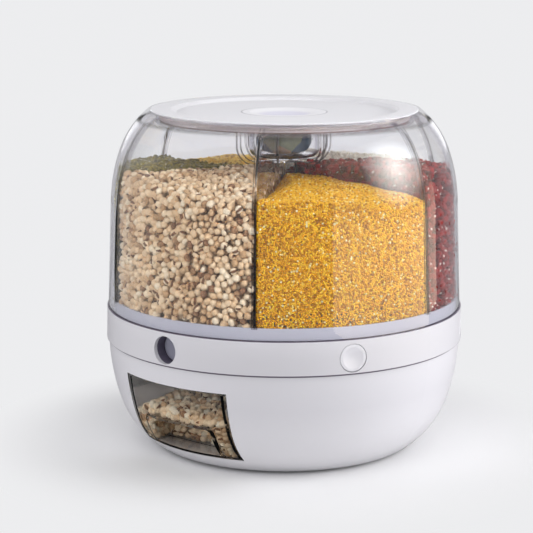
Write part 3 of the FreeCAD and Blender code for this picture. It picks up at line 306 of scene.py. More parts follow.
# %% The floor
BACKDROP = colour(0.845, 0.848, 0.862)
PAPER, FLAG_PAPER = colour(0.775, 0.775, 0.785), colour(0.08, 0.08, 0.08)
PAPER_ROUGH = 0.9
LIT_REACH, FLAT_REACH = 0.15, 0.25
bpy.ops.mesh.primitive_plane_add(size=40.0, location=(0, 0, 0))
floor = bpy.context.object
floor.name = "floor"
paper, tree, paint = new_material("pale_paper")
rays = node(tree, "LightPath").outputs
place = here(tree)
flagged = calc(tree, "MULTIPLY", rays["Is Glossy Ray"], behind(tree, place, 1.0, 0.0))
feed(paint, Base_Color=mix_colour(tree, flagged, PAPER, FLAG_PAPER),
     Roughness=PAPER_ROUGH, Specular_IOR_Level=0.0)
away = node(tree, "VectorMath", place, operation="LENGTH").outputs["Value"]
far = map_range(tree, away, LIT_REACH, FLAT_REACH, run="SMOOTHSTEP")
seen = calc(tree, "MAXIMUM", rays["Is Camera Ray"], rays["Is Transmission Ray"])
flat = node(tree, "Emission", Color=BACKDROP)
blend = node(tree, "MixShader", calc(tree, "MULTIPLY", seen, far), paint.outputs["BSDF"],
             flat.outputs["Emission"])
feed(tree.nodes["Material Output"], Surface=blend.outputs["Shader"])
floor.data.materials.append(paper)
print("floor made")

# %% [markdown]
# ## Finishes
# Moulded plastic is never one flat colour: the tool leaves a very fine texture, and the
# gloss wanders a little. One node group holds that, and each plastic places it with its
# own colours, scale and depth. It reads Object coordinates, so the marks stay on the
# piece when the piece moves.

# %% The mould marks group
def add_sockets(group, way, *rows):
    """Sockets of a group, each given as its name, its kind and, for an input, its value."""
    for name, kind, *value in rows:
        socket = group.interface.new_socket(name, in_out=way, socket_type="NodeSocket" + kind)
        if value:
            socket.default_value = value[0]


def make_mould_marks():
    group = bpy.data.node_groups.new("mould_marks", "ShaderNodeTree")
    add_sockets(group, "INPUT", ("Main", "Color", colour(0.8, 0.8, 0.8)),
                ("Shade", "Color", colour(0.75, 0.75, 0.75)), ("Gloss Low", "Float", 0.3),
                ("Gloss High", "Float", 0.4), ("Grain", "Float", 900.0), ("Depth", "Float", 0.05))
    add_sockets(group, "OUTPUT", ("Colour", "Color"), ("Roughness", "Float"), ("Normal", "Vector"))
    given, place = group.nodes.new("NodeGroupInput").outputs, here(group)
    cloud = node(group, "TexNoise", place, Scale=14.0, Detail=4.0).outputs["Fac"]
    fine = node(group, "TexNoise", place, Scale=given["Grain"], Detail=3.0).outputs["Fac"]
    bump = node(group, "Bump", Height=fine, Strength=given["Depth"], Distance=0.0004)
    feed(group.nodes.new("NodeGroupOutput"),
         Colour=mix_colour(group, cloud, given["Main"], given["Shade"]),
         Roughness=map_range(group, cloud, 0.0, 1.0, given["Gloss Low"], given["Gloss High"]),
         Normal=bump.outputs["Normal"])
    return group


MOULD_MARKS = make_mould_marks()
print("group made:", MOULD_MARKS.name)

# %% [markdown]
# Every opaque finish is then one line: two colours that the marks run between, the range
# of its gloss, and how fine and deep its grain is. Zones tint a finish by its place.

# %% Opaque finishes
def by_place(tree, colours, zones):
    """Lays each (Z or R, middle, half width, soft edge, colour) over a colour; in mm."""
    at = measured(tree)
    for kind, middle, half, soft, tint in zones:
        off = calc(tree, "ABSOLUTE", calc(tree, "SUBTRACT", at[kind], middle * MM))
        mask = map_range(tree, off, (half + soft) * MM, half * MM)
        colours = mix_colour(tree, mask, colours, colour(*tint))
    return colours


def moulded(name, main, shade, gloss, grain, depth, metal=0.0, gleam=0.5, zones=()):
    """An opaque moulded plastic, rubber or metal."""
    material, tree, shader = new_material(name)
    marks = node(tree, "Group", node_tree=MOULD_MARKS, Main=colour(*main), Shade=colour(*shade),
                 Gloss_Low=gloss[0], Gloss_High=gloss[1], Grain=grain, Depth=depth).outputs
    colours = by_place(tree, marks["Colour"], zones) if zones else marks["Colour"]
    feed(shader, Base_Color=colours, Roughness=marks["Roughness"], Normal=marks["Normal"],
         Metallic=metal, IOR=PLASTIC_IOR, Specular_IOR_Level=gleam)
    return material


PLASTIC_IOR = 1.5
PALE = ((0.69, 0.68, 0.715), (0.665, 0.655, 0.695), (0.28, 0.36), 1400.0, 0.04)
FINISH = {name: moulded(name, *row) for name, *row in (
    # slot, colour, shade, gloss from and to, grain, depth, and 1.0 for a metal
    ("white_plastic", *PALE),
    ("inner_plastic", (0.74, 0.75, 0.80), (0.70, 0.71, 0.77), (0.45, 0.6), 900.0, 0.08),
    # the sleeves are dark, painted shade for the bores of the buttons
    ("sleeve_plastic", (0.11, 0.095, 0.14), (0.09, 0.08, 0.12), (0.4, 0.55), 900.0, 0.08),
    ("steel", (0.62, 0.62, 0.64), (0.55, 0.55, 0.57), (0.22, 0.38), 2200.0, 0.05, 1.0),
    ("rubber", (0.05, 0.05, 0.052), (0.035, 0.035, 0.036), (0.7, 0.85), 1800.0, 0.3),
    ("silicone", (0.84, 0.77, 0.74), (0.80, 0.73, 0.70), (0.4, 0.5), 1200.0, 0.05))}
print("opaque finishes:", sorted(FINISH))

# %% [markdown]
# Some white pieces get a finish of their own. Where the ring meets the bowl and the
# drum, a narrow mauve line of painted shade is laid in the seam by height, for the shade
# in its thin gap.
# The ring is a little greyer than the bowl, and the bowl pales towards its foot: painted
# light, for what the floor throws up. The skirt of the lid is paler and warm, painted
# light that the grain below it throws up, over a dark line at its foot, and the cap is
# darker in its dish and at its outline, painted shade in the hollow and in the seam round
# it. Lid and cap scatter light but mirror nothing, so no bright board washes them out.
# The hopper floor, of which only the rim shows behind the foot of the drum, is painted a
# shaded lavender, for the shade under the drum, and the button over the window is painted
# greyer than the rest, for the shade deep in its bore.

# %% Whites with lines in their seams
SEAM_SHADE = (0.13, 0.11, 0.15)
LID_MARKS = ((0.28, 0.34), 1400.0, 0.03, 0.0, 0.0)
_, (CAP_RADIUS, _, CAP_TOP_Z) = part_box("desiccant_cap")
OWN_FINISH = {
    # zones are rows of (along, middle, half width and soft edge in mm, colour)
    "drum_ring": moulded("white_plastic_painted_light", *PALE, zones=(
        # the paler foot of the bowl is painted light, thrown up by the floor
        ("Z", 0.0, 12.0, 45.0, (0.80, 0.79, 0.82)), ("Z", 97.3, 12.5, 1.0, (0.61, 0.60, 0.635)),
        # the two thin lines are painted shade in the seams of ring with bowl and with drum
        ("Z", 84.3, 0.64, 0.2, SEAM_SHADE), ("Z", 110.2, 0.4, 0.2, SEAM_SHADE))),
    "lid": moulded("white_plastic_lid", (0.68, 0.675, 0.70), (0.66, 0.655, 0.68), *LID_MARKS, zones=(
        # the skirt's pale warm tone is painted light, thrown up by the grain below
        ("Z", 251.5, 7.3, 0.4, (0.97, 0.91, 0.89)), ("Z", 254.6, 0.7, 0.3, (0.30, 0.21, 0.19)))),
    "desiccant_cap": moulded(
        "white_plastic_cap", (0.725, 0.72, 0.745), (0.705, 0.70, 0.725), *LID_MARKS, zones=(
            # painted shade in the cap's dish, and in the seam round its outline
            ("Z", CAP_TOP_Z / MM - 3.4, 1.2, 1.0, (0.62, 0.61, 0.69)),
            ("R", CAP_RADIUS / MM, 0.5, 0.4, (0.42, 0.41, 0.45)))),
    # the hopper floor is painted darker and lavender, for the shade under the drum
    "hopper_floor": moulded("hopper_floor_painted_shade", (0.61, 0.61, 0.69), (0.57, 0.57, 0.66), (0.4, 0.5),
                            1400.0, 0.04),
    # the pressed button is painted grey-blue, for the shade deep in its bore
    "button_1": moulded("button_painted_shade", (0.42, 0.42, 0.52), (0.39, 0.39, 0.49), (0.35, 0.45),
                        1400.0, 0.04),
}
OWN_FINISH["base_bowl"] = OWN_FINISH["drum_ring"]
print("own finishes:", sorted(OWN_FINISH), "cap radius", round(CAP_RADIUS / MM, 1), "mm")

# %% [markdown]
# Clear mouldings show where they are thick: two ribs in the drum's wall hold each
# divider, and a bead runs round the cut-out for the cup. Their edges read as dark lines
# with a paler, slightly frosted strip between, so two node groups find them by place. The
# dark lines are painted shade, for the dark surroundings that the edges bend and mirror.
# Low on the ribs, along the grain, the whole strip is darker too, and higher up the lines
# are fainter.

# %% Lines on ribs and beads
RIB_TURN = math.radians(30)
RIB_FOOT_Z = 118.5 * MM
RIB_LOW_Z, RIB_HIGH_Z, RIB_LOW_DARK, RIB_HIGH_LINE = 208.0 * MM, 222.0 * MM, 0.6, 0.45
CUTOUT_R, CUTOUT_LOW_Z, CUTOUT_CORNER, BEAD_W = 36.0 * MM, 222.9 * MM, 12.0 * MM, 3.5 * MM
REACH = 0.003
# strengths of the painted shade lines across a rib and across a bead
RIB_LINE = ((0.0, 0.9), (0.0003, 0.85), (0.0006, 0.0), (0.0015, 0.0), (0.0018, 0.75),
            (0.0021, 0.75), (0.0023, 0.0))
RIB_FROST = ((0.0, 1.0), (0.0019, 1.0), (0.0022, 0.0))
BEAD_LINE = ((0.0, 0.0), (0.0010, 0.0), (0.0013, 0.85), (0.0018, 0.85), (0.0021, 0.0))
BEAD_FROST = ((0.0, 1.0), (0.0017, 1.0), (0.0019, 0.0))


def line_group(name):
    """A group with the two masks that it has to fill, and the measured place."""
    group = bpy.data.node_groups.new(name, "ShaderNodeTree")
    add_sockets(group, "OUTPUT", ("Line", "Float"), ("Frost", "Float"))
    return group, group.nodes.new("NodeGroupOutput"), measured(group)


def band(tree, distance, stops):
    """A mask that follows stops of (distance, strength), up to REACH."""
    return ramp(tree, calc(tree, "DIVIDE", distance, REACH),
                [(at / REACH, (strength,) * 3) for at, strength in stops])


def make_rib_lines():
    group, out, at = line_group("rib_lines")
    turn = calc(group, "PINGPONG", calc(group, "ARCTAN2", at["Y"], at["X"]), RIB_TURN)
    off = calc(group, "MULTIPLY", turn, at["R"])
    above = calc(group, "GREATER_THAN", at["Z"], RIB_FOOT_Z)
    frost = band(group, off, RIB_FROST)
    low_dark = map_range(group, at["Z"], RIB_HIGH_Z, RIB_LOW_Z, 0.0, RIB_LOW_DARK)
    high_fade = map_range(group, at["Z"], RIB_LOW_Z, RIB_HIGH_Z, 1.0, RIB_HIGH_LINE)
    line = calc(group, "MAXIMUM", calc(group, "MULTIPLY", band(group, off, RIB_LINE), high_fade),
                calc(group, "MULTIPLY", frost, low_dark))
    feed(out, Line=calc(group, "MULTIPLY", line, above),
         Frost=calc(group, "MULTIPLY", frost, above))
    return group


def make_bead_lines():
    group, out, at = line_group("bead_lines")
    squares = []
    for inside in (calc(group, "SUBTRACT", at["R"], CUTOUT_R - CUTOUT_CORNER),
                   calc(group, "SUBTRACT", CUTOUT_LOW_Z + CUTOUT_CORNER, at["Z"])):
        over = calc(group, "MAXIMUM", 0.0, inside)
        squares.append(calc(group, "MULTIPLY", over, over))
    far = calc(group, "SQRT", calc(group, "ADD", *squares))
    off = calc(group, "ABSOLUTE", calc(group, "SUBTRACT", far, CUTOUT_CORNER + BEAD_W / 2))
    feed(out, Line=band(group, off, BEAD_LINE), Frost=band(group, off, BEAD_FROST))
    return group


RIB_LINES, BEAD_LINES = make_rib_lines(), make_bead_lines()
print("line groups:", RIB_LINES.name, BEAD_LINES.name)

# %% [markdown]
# Clear plastic bends light at both faces of its wall, so the drum is a closed wall with
# glass as its shader. A lamp's light would be lost on the way through two bent faces,
# so for shadow rays a plain Transparent shader takes the place of the glass. The lip of
# the drum under the lid fades out in the same way, so that it hides nothing behind it.

# %% Clear plastics
PAINTED_LINE_SHADE, FROST_ROUGH = colour(0.20, 0.17, 0.19), 0.1
DRUM_LIP_Z, LIP_FADE, LIP_CLEAR = 253.5 * MM, 3.0 * MM, 0.85
CLEAR_IOR = 1.49


def clear(name, tint, passed, gloss, edge=None, edge_from=0.35, edge_to=0.8, lines=None,
          lip_z=None, gleam=0.5):
    """Clear plastic. Edge tints it at a glancing angle, as painted shade; lines is a group of masks.
    """
    material, tree, shader = new_material(name)
    tone, place = colour(*tint), here(tree)
    # painted shade: at a glancing angle the plastic is tinted darker, for the dark surroundings its
    # edges bend into view
    if edge:
        facing = node(tree, "LayerWeight").outputs["Facing"]
        glancing = map_range(tree, facing, edge_from, edge_to, run="SMOOTHSTEP")
        tone = mix_colour(tree, glancing, tone, colour(*edge))
    streak = node(tree, "TexNoise", place, Scale=40.0, Detail=5.0).outputs["Fac"]
    rough = map_range(tree, streak, 0.0, 1.0, *gloss)
    if lines:
        found = node(tree, "Group", node_tree=lines).outputs
        # the dark lines are painted shade
        tone = mix_colour(tree, found["Line"], tone, PAINTED_LINE_SHADE)
        frosted = calc(tree, "MULTIPLY", found["Frost"], FROST_ROUGH)
        rough = calc(tree, "MAXIMUM", rough, frosted)
    feed(shader, Base_Color=tone, Roughness=rough, IOR=CLEAR_IOR, Specular_IOR_Level=gleam,
         Transmission_Weight=1.0)
    passing = node(tree, "LightPath").outputs["Is Shadow Ray"]
    if lip_z:
        height = node(tree, "SeparateXYZ", place).outputs["Z"]
        lip = map_range(tree, height, lip_z, lip_z + LIP_FADE, 0.0, LIP_CLEAR)
        passing = calc(tree, "MAXIMUM", passing, lip)
    film = node(tree, "BsdfTransparent", Color=colour(*passed))
    mix = node(tree, "MixShader", passing, shader.outputs["BSDF"], film.outputs["BSDF"])
    feed(tree.nodes["Material Output"], Surface=mix.outputs["Shader"])
    return material


DRUM_TINT, PANEL_TINT, PAINTED_EDGE_SHADE = (0.985, 0.985, 1.0), (0.98, 0.98, 0.99), (0.42, 0.40, 0.46)
PASSED = (0.95, 0.95, 0.96)
FINISH["clear_plastic"] = clear("clear_plastic", DRUM_TINT, PASSED, (0.0, 0.03))
FINISH["tinted_plastic"] = clear("tinted_plastic", (0.955, 0.935, 0.91), (0.95, 0.93, 0.91),
                                 (0.0, 0.04))
# the drum's lavender tint at its edges is painted shade too
OWN_FINISH["clear_dome"] = clear(
    "clear_plastic_ribs", DRUM_TINT, PASSED, (0.0, 0.02), edge=(0.84, 0.82, 0.91), edge_from=0.6,
    edge_to=0.9, lines=RIB_LINES, lip_z=DRUM_LIP_Z)
OWN_FINISH["centre_tube"] = OWN_FINISH["desiccant_cup"] = clear(
    "clear_plastic_edges", PANEL_TINT, PASSED, (0.0, 0.02), edge=PAINTED_EDGE_SHADE, gleam=0.2)
beaded = clear("clear_plastic_beads", PANEL_TINT, PASSED, (0.0, 0.02), edge=PAINTED_EDGE_SHADE,
               lines=BEAD_LINES, gleam=0.2)
for k in range(1, 7):
    OWN_FINISH["divider_%d" % k] = beaded
print("clear finishes made")

# %% [markdown]
# ## Finish on the frame's own pieces
# The frame's solids keep their shape where it is already right: screws, races, gates,
# dividers and walls. Each gets the finish of its slot, or the one of its own.

# %% Finishes onto slots
for part in frame["record"]["subparts"]:
    finish = OWN_FINISH.get(part["node"], FINISH.get(part["material_slot"]))
    if finish:
        NODES[part["node"]].data.materials.clear()
        NODES[part["node"]].data.materials.append(finish)

# %% [markdown]
# ## Grain
# Grain is what the eye goes to. A picture of grain on a smooth heap would look flat at
# the wall, so each grain is a real small shape. Every kind is modelled once, with a few
# dozen faces, and then sown: thousands of copies become one mesh, each copy turned and
# sized by chance and carrying its own tone, which the finish reads.

# %% Helpers for modelling
def start_fresh():
    if bpy.context.mode != "OBJECT":
        bpy.ops.object.mode_set(mode="OBJECT")
    bpy.ops.object.select_all(action="DESELECT")


def edit(choose=lambda co: True):
    """Goes to edit mode with only the vertices that choose picks by their place."""
    bpy.ops.object.mode_set(mode="EDIT")
    bpy.ops.mesh.select_mode(type="VERT")
    bpy.ops.mesh.select_all(action="DESELECT")
    mesh = bmesh.from_edit_mesh(bpy.context.object.data)
    for vertex in mesh.verts:
        vertex.select = bool(choose(vertex.co))
    mesh.select_flush(True)
    bmesh.update_edit_mesh(bpy.context.object.data)


def done():
    bpy.ops.object.mode_set(mode="OBJECT")


def points_of(piece):
    return np.array([v.co for v in piece.data.vertices])


def from_axis(places):
    return np.hypot(places[:, 0], places[:, 1])


print("modelling helpers ready")

# %% [markdown]
# Beans, rice grains and Job's tears are stretched balls of a few sides. The tear and the
# red bean are blunt at their ends and have a groove, a slight one in the bean. Millet and
# corn grits are so small that an icosahedron of twenty faces does.

# %% One grain of each kind
GROOVE_FROM_X, GROOVE_HALF_Y, POLE_FROM_Z, BLUNT = 0.1, 0.01, 0.49, 0.82


def sized(name, size):
    """Names the new ball and stretches its vertices."""
    grain = bpy.context.object
    grain.name = name
    edit()
    bpy.ops.transform.resize(value=size)
    done()
    return grain


def round_grain(name, sides, rings, size, groove=0.0):
    """A grain along Z; a groove runs down the side that faces +X."""
    start_fresh()
    bpy.ops.mesh.primitive_uv_sphere_add(segments=sides, ring_count=rings, radius=0.5)
    if groove:
        edit(lambda co: co.x > GROOVE_FROM_X and abs(co.y) < GROOVE_HALF_Y)
        bpy.ops.transform.translate(value=(-groove, 0, 0))
        edit(lambda co: abs(co.z) > POLE_FROM_Z)
        bpy.ops.transform.resize(value=(1, 1, BLUNT))
    return sized(name, size)


def chip_grain(name, size):
    start_fresh()
    bpy.ops.mesh.primitive_ico_sphere_add(subdivisions=1, radius=0.5)
    return sized(name, size)


GRAINS = {
    "jobs_tears": round_grain("tear", 8, 6, (0.86, 0.92, 1.0), groove=0.2),
    "millet": chip_grain("seed", (1.0, 1.0, 1.0)),
    "red_beans": round_grain("red_bean", 8, 6, (0.66, 0.68, 1.0), groove=0.03),
    "cream_rice": round_grain("rice", 6, 6, (0.42, 0.42, 1.0)),
    "corn_grits": chip_grain("grit", (1.0, 0.85, 0.75)),
    "mung_beans": round_grain("mung_bean", 8, 6, (0.8, 0.8, 1.0)),
}
for grain in GRAINS.values():
    print(grain.name, len(grain.data.polygons), "faces")

# %% [markdown]
# Copies are sown with numpy: the places, turns and sizes of all grains are arrays, and
# one mesh is filled from them. A tone per grain and the mark of the groove or eye go
# along as attributes on the vertices. A tear shows its groove only here and there, so
# half of the tears carry no mark.

# %% Sowing
MARK_REACH = {"tear": 1.0, "red_bean": 0.1, "mung_bean": 0.1}
MARK_SHARE = {"tear": 0.5}
MARK_FROM_X, MARK_HALF_Y = 0.02, 0.02


def line_of(grain):
    """1 at vertices on the side that faces +X, where a bean has its eye and a tear its groove."""
    x, y, z = points_of(grain).T
    reach = MARK_REACH.get(grain.name, 0.0)
    return 1.0 * ((x > MARK_FROM_X) & (np.abs(y) < MARK_HALF_Y) & (np.abs(z) < reach))


def chance_turns(count, rng):
    """Random rotation matrices."""
    q = rng.normal(size=(count, 4))
    q /= np.linalg.norm(q, axis=1)[:, None]
    w, x, y, z = q.T
    rows = [[1 - 2 * (y * y + z * z), 2 * (x * y - z * w), 2 * (x * z + y * w)],
            [2 * (x * y + z * w), 1 - 2 * (x * x + z * z), 2 * (y * z - x * w)],
            [2 * (x * z - y * w), 2 * (y * z + x * w), 1 - 2 * (x * x + y * y)]]
    return np.array(rows).transpose(2, 0, 1)


def give_values(mesh, name, values):
    """A number for each vertex, which the finish reads by name."""
    holder = mesh.attributes.new(name, "FLOAT", "POINT")
    holder.data.foreach_set("value", values.astype(np.float32))


def sow(name, grain, places, sizes, rng, finish, body):
    """One mesh of copies of grain at places, in metres."""
    count, shape = len(places), points_of(grain)
    points = np.einsum("nij,vj->nvi", chance_turns(count, rng), shape) * sizes[:, None, None]
    points += places[:, None, :]
    corners = np.array([i for p in grain.data.polygons for i in p.vertices])
    lengths = np.tile([len(p.vertices) for p in grain.data.polygons], count)
    mesh = bpy.data.meshes.new(name)
    mesh.vertices.add(count * len(shape))
    mesh.vertices.foreach_set("co", points.ravel().astype(np.float32))
    loops = (corners[None, :] + np.arange(count)[:, None] * len(shape)).ravel()
    mesh.loops.add(len(loops))
    mesh.loops.foreach_set("vertex_index", loops.astype(np.int32))
    starts = np.concatenate([[0], np.cumsum(lengths)[:-1]])
    mesh.polygons.add(len(lengths))
    mesh.polygons.foreach_set("loop_start", starts.astype(np.int32))
    mesh.update(calc_edges=True)
    mesh.shade_smooth()
    give_values(mesh, "tone", np.repeat(rng.random(count), len(shape)))
    marked = np.repeat(rng.random(count) < MARK_SHARE.get(grain.name, 1.0), len(shape))
    give_values(mesh, "mark", np.tile(line_of(grain), count) * marked)
    piece = bpy.data.objects.new(name, mesh)
    bpy.context.scene.collection.objects.link(piece)
    mesh.materials.append(finish)
    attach(piece, body)
    return piece


print("marked kinds:", sorted(MARK_REACH))

# %% [markdown]
# A heap is packed in layers that follow its faces: the outer wall, the top, and the
# upper strip along the dividers, which shows where the neighbour's heap is lower. Each
# layer starts as rows of a honeycomb with some disorder, then the grains push each other
# apart for a few rounds while the walls hold them in. Behind the layers a plain core
# fills the heap.

# %% Rows and pushing apart
ROW_RISE = 0.87
TOUCHING, GIVE = 0.92, 0.4
DISORDER, FINE_DISORDER = 0.3, 0.5


def honeycomb(width, height, pitch, rng, disorder=DISORDER):
    """Disordered honeycomb spots in a rectangle around the origin."""
    rise = pitch * ROW_RISE
    rows = int(height / rise) + 2
    across = int(width / pitch) + 2
    i, j = np.meshgrid(np.arange(across), np.arange(rows))
    x = (i + 0.5 * (j % 2) - across / 2) * pitch + rng.uniform(-0.5, 0.5) * pitch
    y = (j - rows / 2) * rise + rng.uniform(-0.5, 0.5) * rise
    spots = np.stack([x.ravel(), y.ravel()], axis=1)
    return spots + rng.normal(scale=disorder * pitch, size=spots.shape)


def push_apart(places, pitch, hold, rounds):
    """Moves grains that are nearer than they may touch, and holds them in after each round."""
    for _ in range(rounds):
        tree = kdtree.KDTree(len(places))
        for i, place in enumerate(places):
            tree.insert(place, i)
        tree.balance()
        moved = np.array(places)
        for i, place in enumerate(places):
            for near, j, far in tree.find_range(place, pitch * TOUCHING):
                if j != i and far > 1e-6:
                    moved[i] += (place - np.array(near)) / far * (pitch * TOUCHING - far) * GIVE
        places = hold(moved)
    return places


print("rows rise by", ROW_RISE, "of the pitch")

# %% [markdown]
# A compartment is a wedge with its tip at the centre tube. Its outer wall is read from
# the frame: the straight part from the heap's own solid, the shoulder from the drum. The
# drum's points also lie on its ribs and inner face, so their hull gives the shoulder.

# %% The room of one compartment
DIVIDER_HALF = 0.75 * MM
RIB_HALF_W, RIB_START = 2.0 * MM, 6.0 * MM
CUP_ZONE_R, UNDER_CUP_Z = 30.0 * MM, 223.0 * MM
TUBE_R = 11.0 * MM
STRAIGHT_Z = 190.0 * MM
WALL_AND_GAP = 2.9 * MM
OUTER_FROM_R, WALL_R, CREST_R = 0.1, 0.134, 0.048
WAVE_HEIGHT, WAVE_OUT, WAVE_ACROSS = 0.0012, 130, 110
COS_30, TAN_30 = math.cos(math.pi / 6), math.tan(math.pi / 6)
LAYER_STEP = 0.8
FACE_WIDTH, FACE_HEIGHT, FACE_Z = 0.148, 0.140, 0.175
TOP_SIZE, TOP_MIDDLE = 0.14, 0.066
STRIP_LENGTH, STRIP_MIDDLE, STRIP_HEIGHT = 0.125, 0.073, 0.024


def shoulder_profile(piece):
    """Heights and outer radii of the drum's shoulder, the hull of all its points."""
    co = points_of(piece)
    points = sorted(set(zip(co[:, 2].round(5), from_axis(co).round(5))))
    hull = []
    for z, r in points:
        while len(hull) > 1 and ((hull[-1][0] - hull[-2][0]) * (r - hull[-2][1])
                                 >= (hull[-1][1] - hull[-2][1]) * (z - hull[-2][0])):
            hull.pop()
        hull.append((z, r))
    return np.array([point for point in hull if point[0] > STRAIGHT_Z])


SHOULDER = shoulder_profile(NODES["clear_dome"])


class Compartment:
    """Local places are (out along the middle of the compartment, across, up)."""

    def __init__(self, fill, bearing, left, right, crest, dip):
        self.fill = fill
        self.turn = math.radians(bearing)
        self.left, self.right, self.crest, self.dip = (v * MM for v in (left, right, crest, dip))
        spots = points_of(NODES[fill])
        radii = from_axis(spots)
        outer = radii > OUTER_FROM_R
        heights = np.round(spots[outer, 2], 5)
        levels = np.unique(heights)
        walls = np.array([radii[outer][heights == z].max() for z in levels])
        self.low = levels[0]
        straight = levels < STRAIGHT_Z
        self.levels = np.concatenate([levels[straight], SHOULDER[:, 0]])
        self.radii = np.concatenate([walls[straight], SHOULDER[:, 1] - WALL_AND_GAP])

    def wall(self, z):
        return np.interp(z, self.levels, self.radii)

    def top(self, places):
        """Height of the heap above the local places."""
        r = from_axis(places)
        side = np.clip(np.degrees(np.arctan2(places[:, 1], places[:, 0])) / 60 + 0.5, 0, 1)
        edge = self.left + (self.right - self.left) * side
        rise = np.clip((WALL_R - r) / (WALL_R - CREST_R), 0, 1)
        height = edge + (self.crest - edge) * rise * (2 - rise) ** 0.5
        height -= self.dip * np.clip(1 - side * 3.5, 0, 1) ** 2 * np.clip(rise * 2, 0, 1)
        wave = (np.sin(places[:, 0] * WAVE_OUT + self.turn) * np.cos(places[:, 1] * WAVE_ACROSS)
                * WAVE_HEIGHT)
        return np.where(r < CUP_ZONE_R, np.minimum(height, UNDER_CUP_Z), height + wave)

    def hold(self, half):
        """A function that puts places back inside the walls, by half a grain."""
        def held(p):
            p = np.array(p)
            p[:, 2] = np.clip(p[:, 2], self.low + half, self.top(p) - half)
            r = from_axis(p)
            most = self.wall(p[:, 2]) - half
            p[:, :2] *= np.minimum(1, most / np.maximum(r, 1e-6))[:, None]
            r = from_axis(p)
            spare = np.where(r > most - RIB_START, RIB_HALF_W, DIVIDER_HALF) + half
            widest = np.maximum((p[:, 0] - spare / COS_30) * TAN_30, 0)
            p[:, 1] = np.clip(p[:, 1], -widest, widest)
            return p
        return held

    def world(self, p):
        out = np.array([math.sin(self.turn), -math.cos(self.turn), 0.0])
        across = np.array([math.cos(self.turn), math.sin(self.turn), 0.0])
        return p[:, :1] * out + p[:, 1:2] * across + p[:, 2:] * np.array([0, 0, 1.0])

    def layers(self, pitch, rng, deep, disorder):
        """Places near the outer wall, the top and the upper strips at the dividers."""
        half, found = pitch / 2, []
        for k in range(deep):
            t = half + k * LAYER_STEP * pitch
            s = honeycomb(FACE_WIDTH, FACE_HEIGHT, pitch, rng, disorder)
            z = s[:, 1] + FACE_Z
            r = self.wall(z) - t
            angle = s[:, 0] / WALL_R
            p = np.stack([r * np.cos(angle), r * np.sin(angle), z], axis=1)
            found.append(p[(z > self.low) & (z < self.top(p) - t)])
            s = honeycomb(TOP_SIZE, TOP_SIZE, pitch, rng, disorder)
            p = np.stack([s[:, 0] + TOP_MIDDLE, s[:, 1], s[:, 0] * 0], axis=1)
            p[:, 2] = self.top(p) - t
            r = from_axis(p)
            found.append(p[(r > TUBE_R + half) & (r < self.wall(p[:, 2]) - t - 0.4 * pitch)])
        for side in (-1, 1):
            s = honeycomb(STRIP_LENGTH, STRIP_HEIGHT, pitch, rng)
            away = s[:, 0] + STRIP_MIDDLE
            gap = DIVIDER_HALF + half
            p = np.stack([away * COS_30 - gap * 0.5, side * (away * 0.5 - gap * COS_30),
                          s[:, 0] * 0], axis=1)
            p[:, 2] = self.top(p) - STRIP_HEIGHT / 2 + s[:, 1] - deep * LAYER_STEP * pitch
            found.append(p)
        p = np.concatenate(found)
        away = p[:, 0] * 0.5 - np.abs(p[:, 1]) * COS_30
        return p[(away > DIVIDER_HALF) & (p[:, 2] > self.low)]


print("shoulder:", len(SHOULDER), "levels from", SHOULDER[0], "to", SHOULDER[-1])

# %% [markdown]
# No two grains have one colour, so each takes its own from a ramp of tones by chance,
# with fine flecks over it. The palest millet, near white, is a painted highlight, for the
# sparkle of light on some seeds. The groove of a tear is dark and the eye of a bean is
# pale. The tears in the box are painted paler, for the light that the bowl and the tinted
# wall keep from them.

# %% Finishes of the grains
FLECK = 0.06


def grain_finish(name, tones, mark, mark_from, rough, bump, gleam):
    """Each grain takes its colour from tones by chance; mark is its groove's or eye's."""
    material, tree, shader = new_material(name)
    tone, line = (node(tree, "Attribute", attribute_name=kind).outputs["Fac"]
                  for kind in ("tone", "mark"))
    husk = node(tree, "TexNoise", here(tree), Scale=900.0, Detail=3.0).outputs["Fac"]
    fleck = map_range(tree, husk, 0.0, 1.0, -FLECK, FLECK)
    body = ramp(tree, calc(tree, "ADD", tone, fleck, use_clamp=True), tones)
    seam = map_range(tree, line, *mark_from)
    dents = node(tree, "Bump", Height=husk, Strength=bump, Distance=0.0003)
    feed(shader, Base_Color=mix_colour(tree, seam, body, colour(*mark)), IOR=1.45,
         Specular_IOR_Level=gleam, Roughness=map_range(tree, tone, 0.0, 1.0, *rough),
         Normal=dents.outputs["Normal"])
    return material


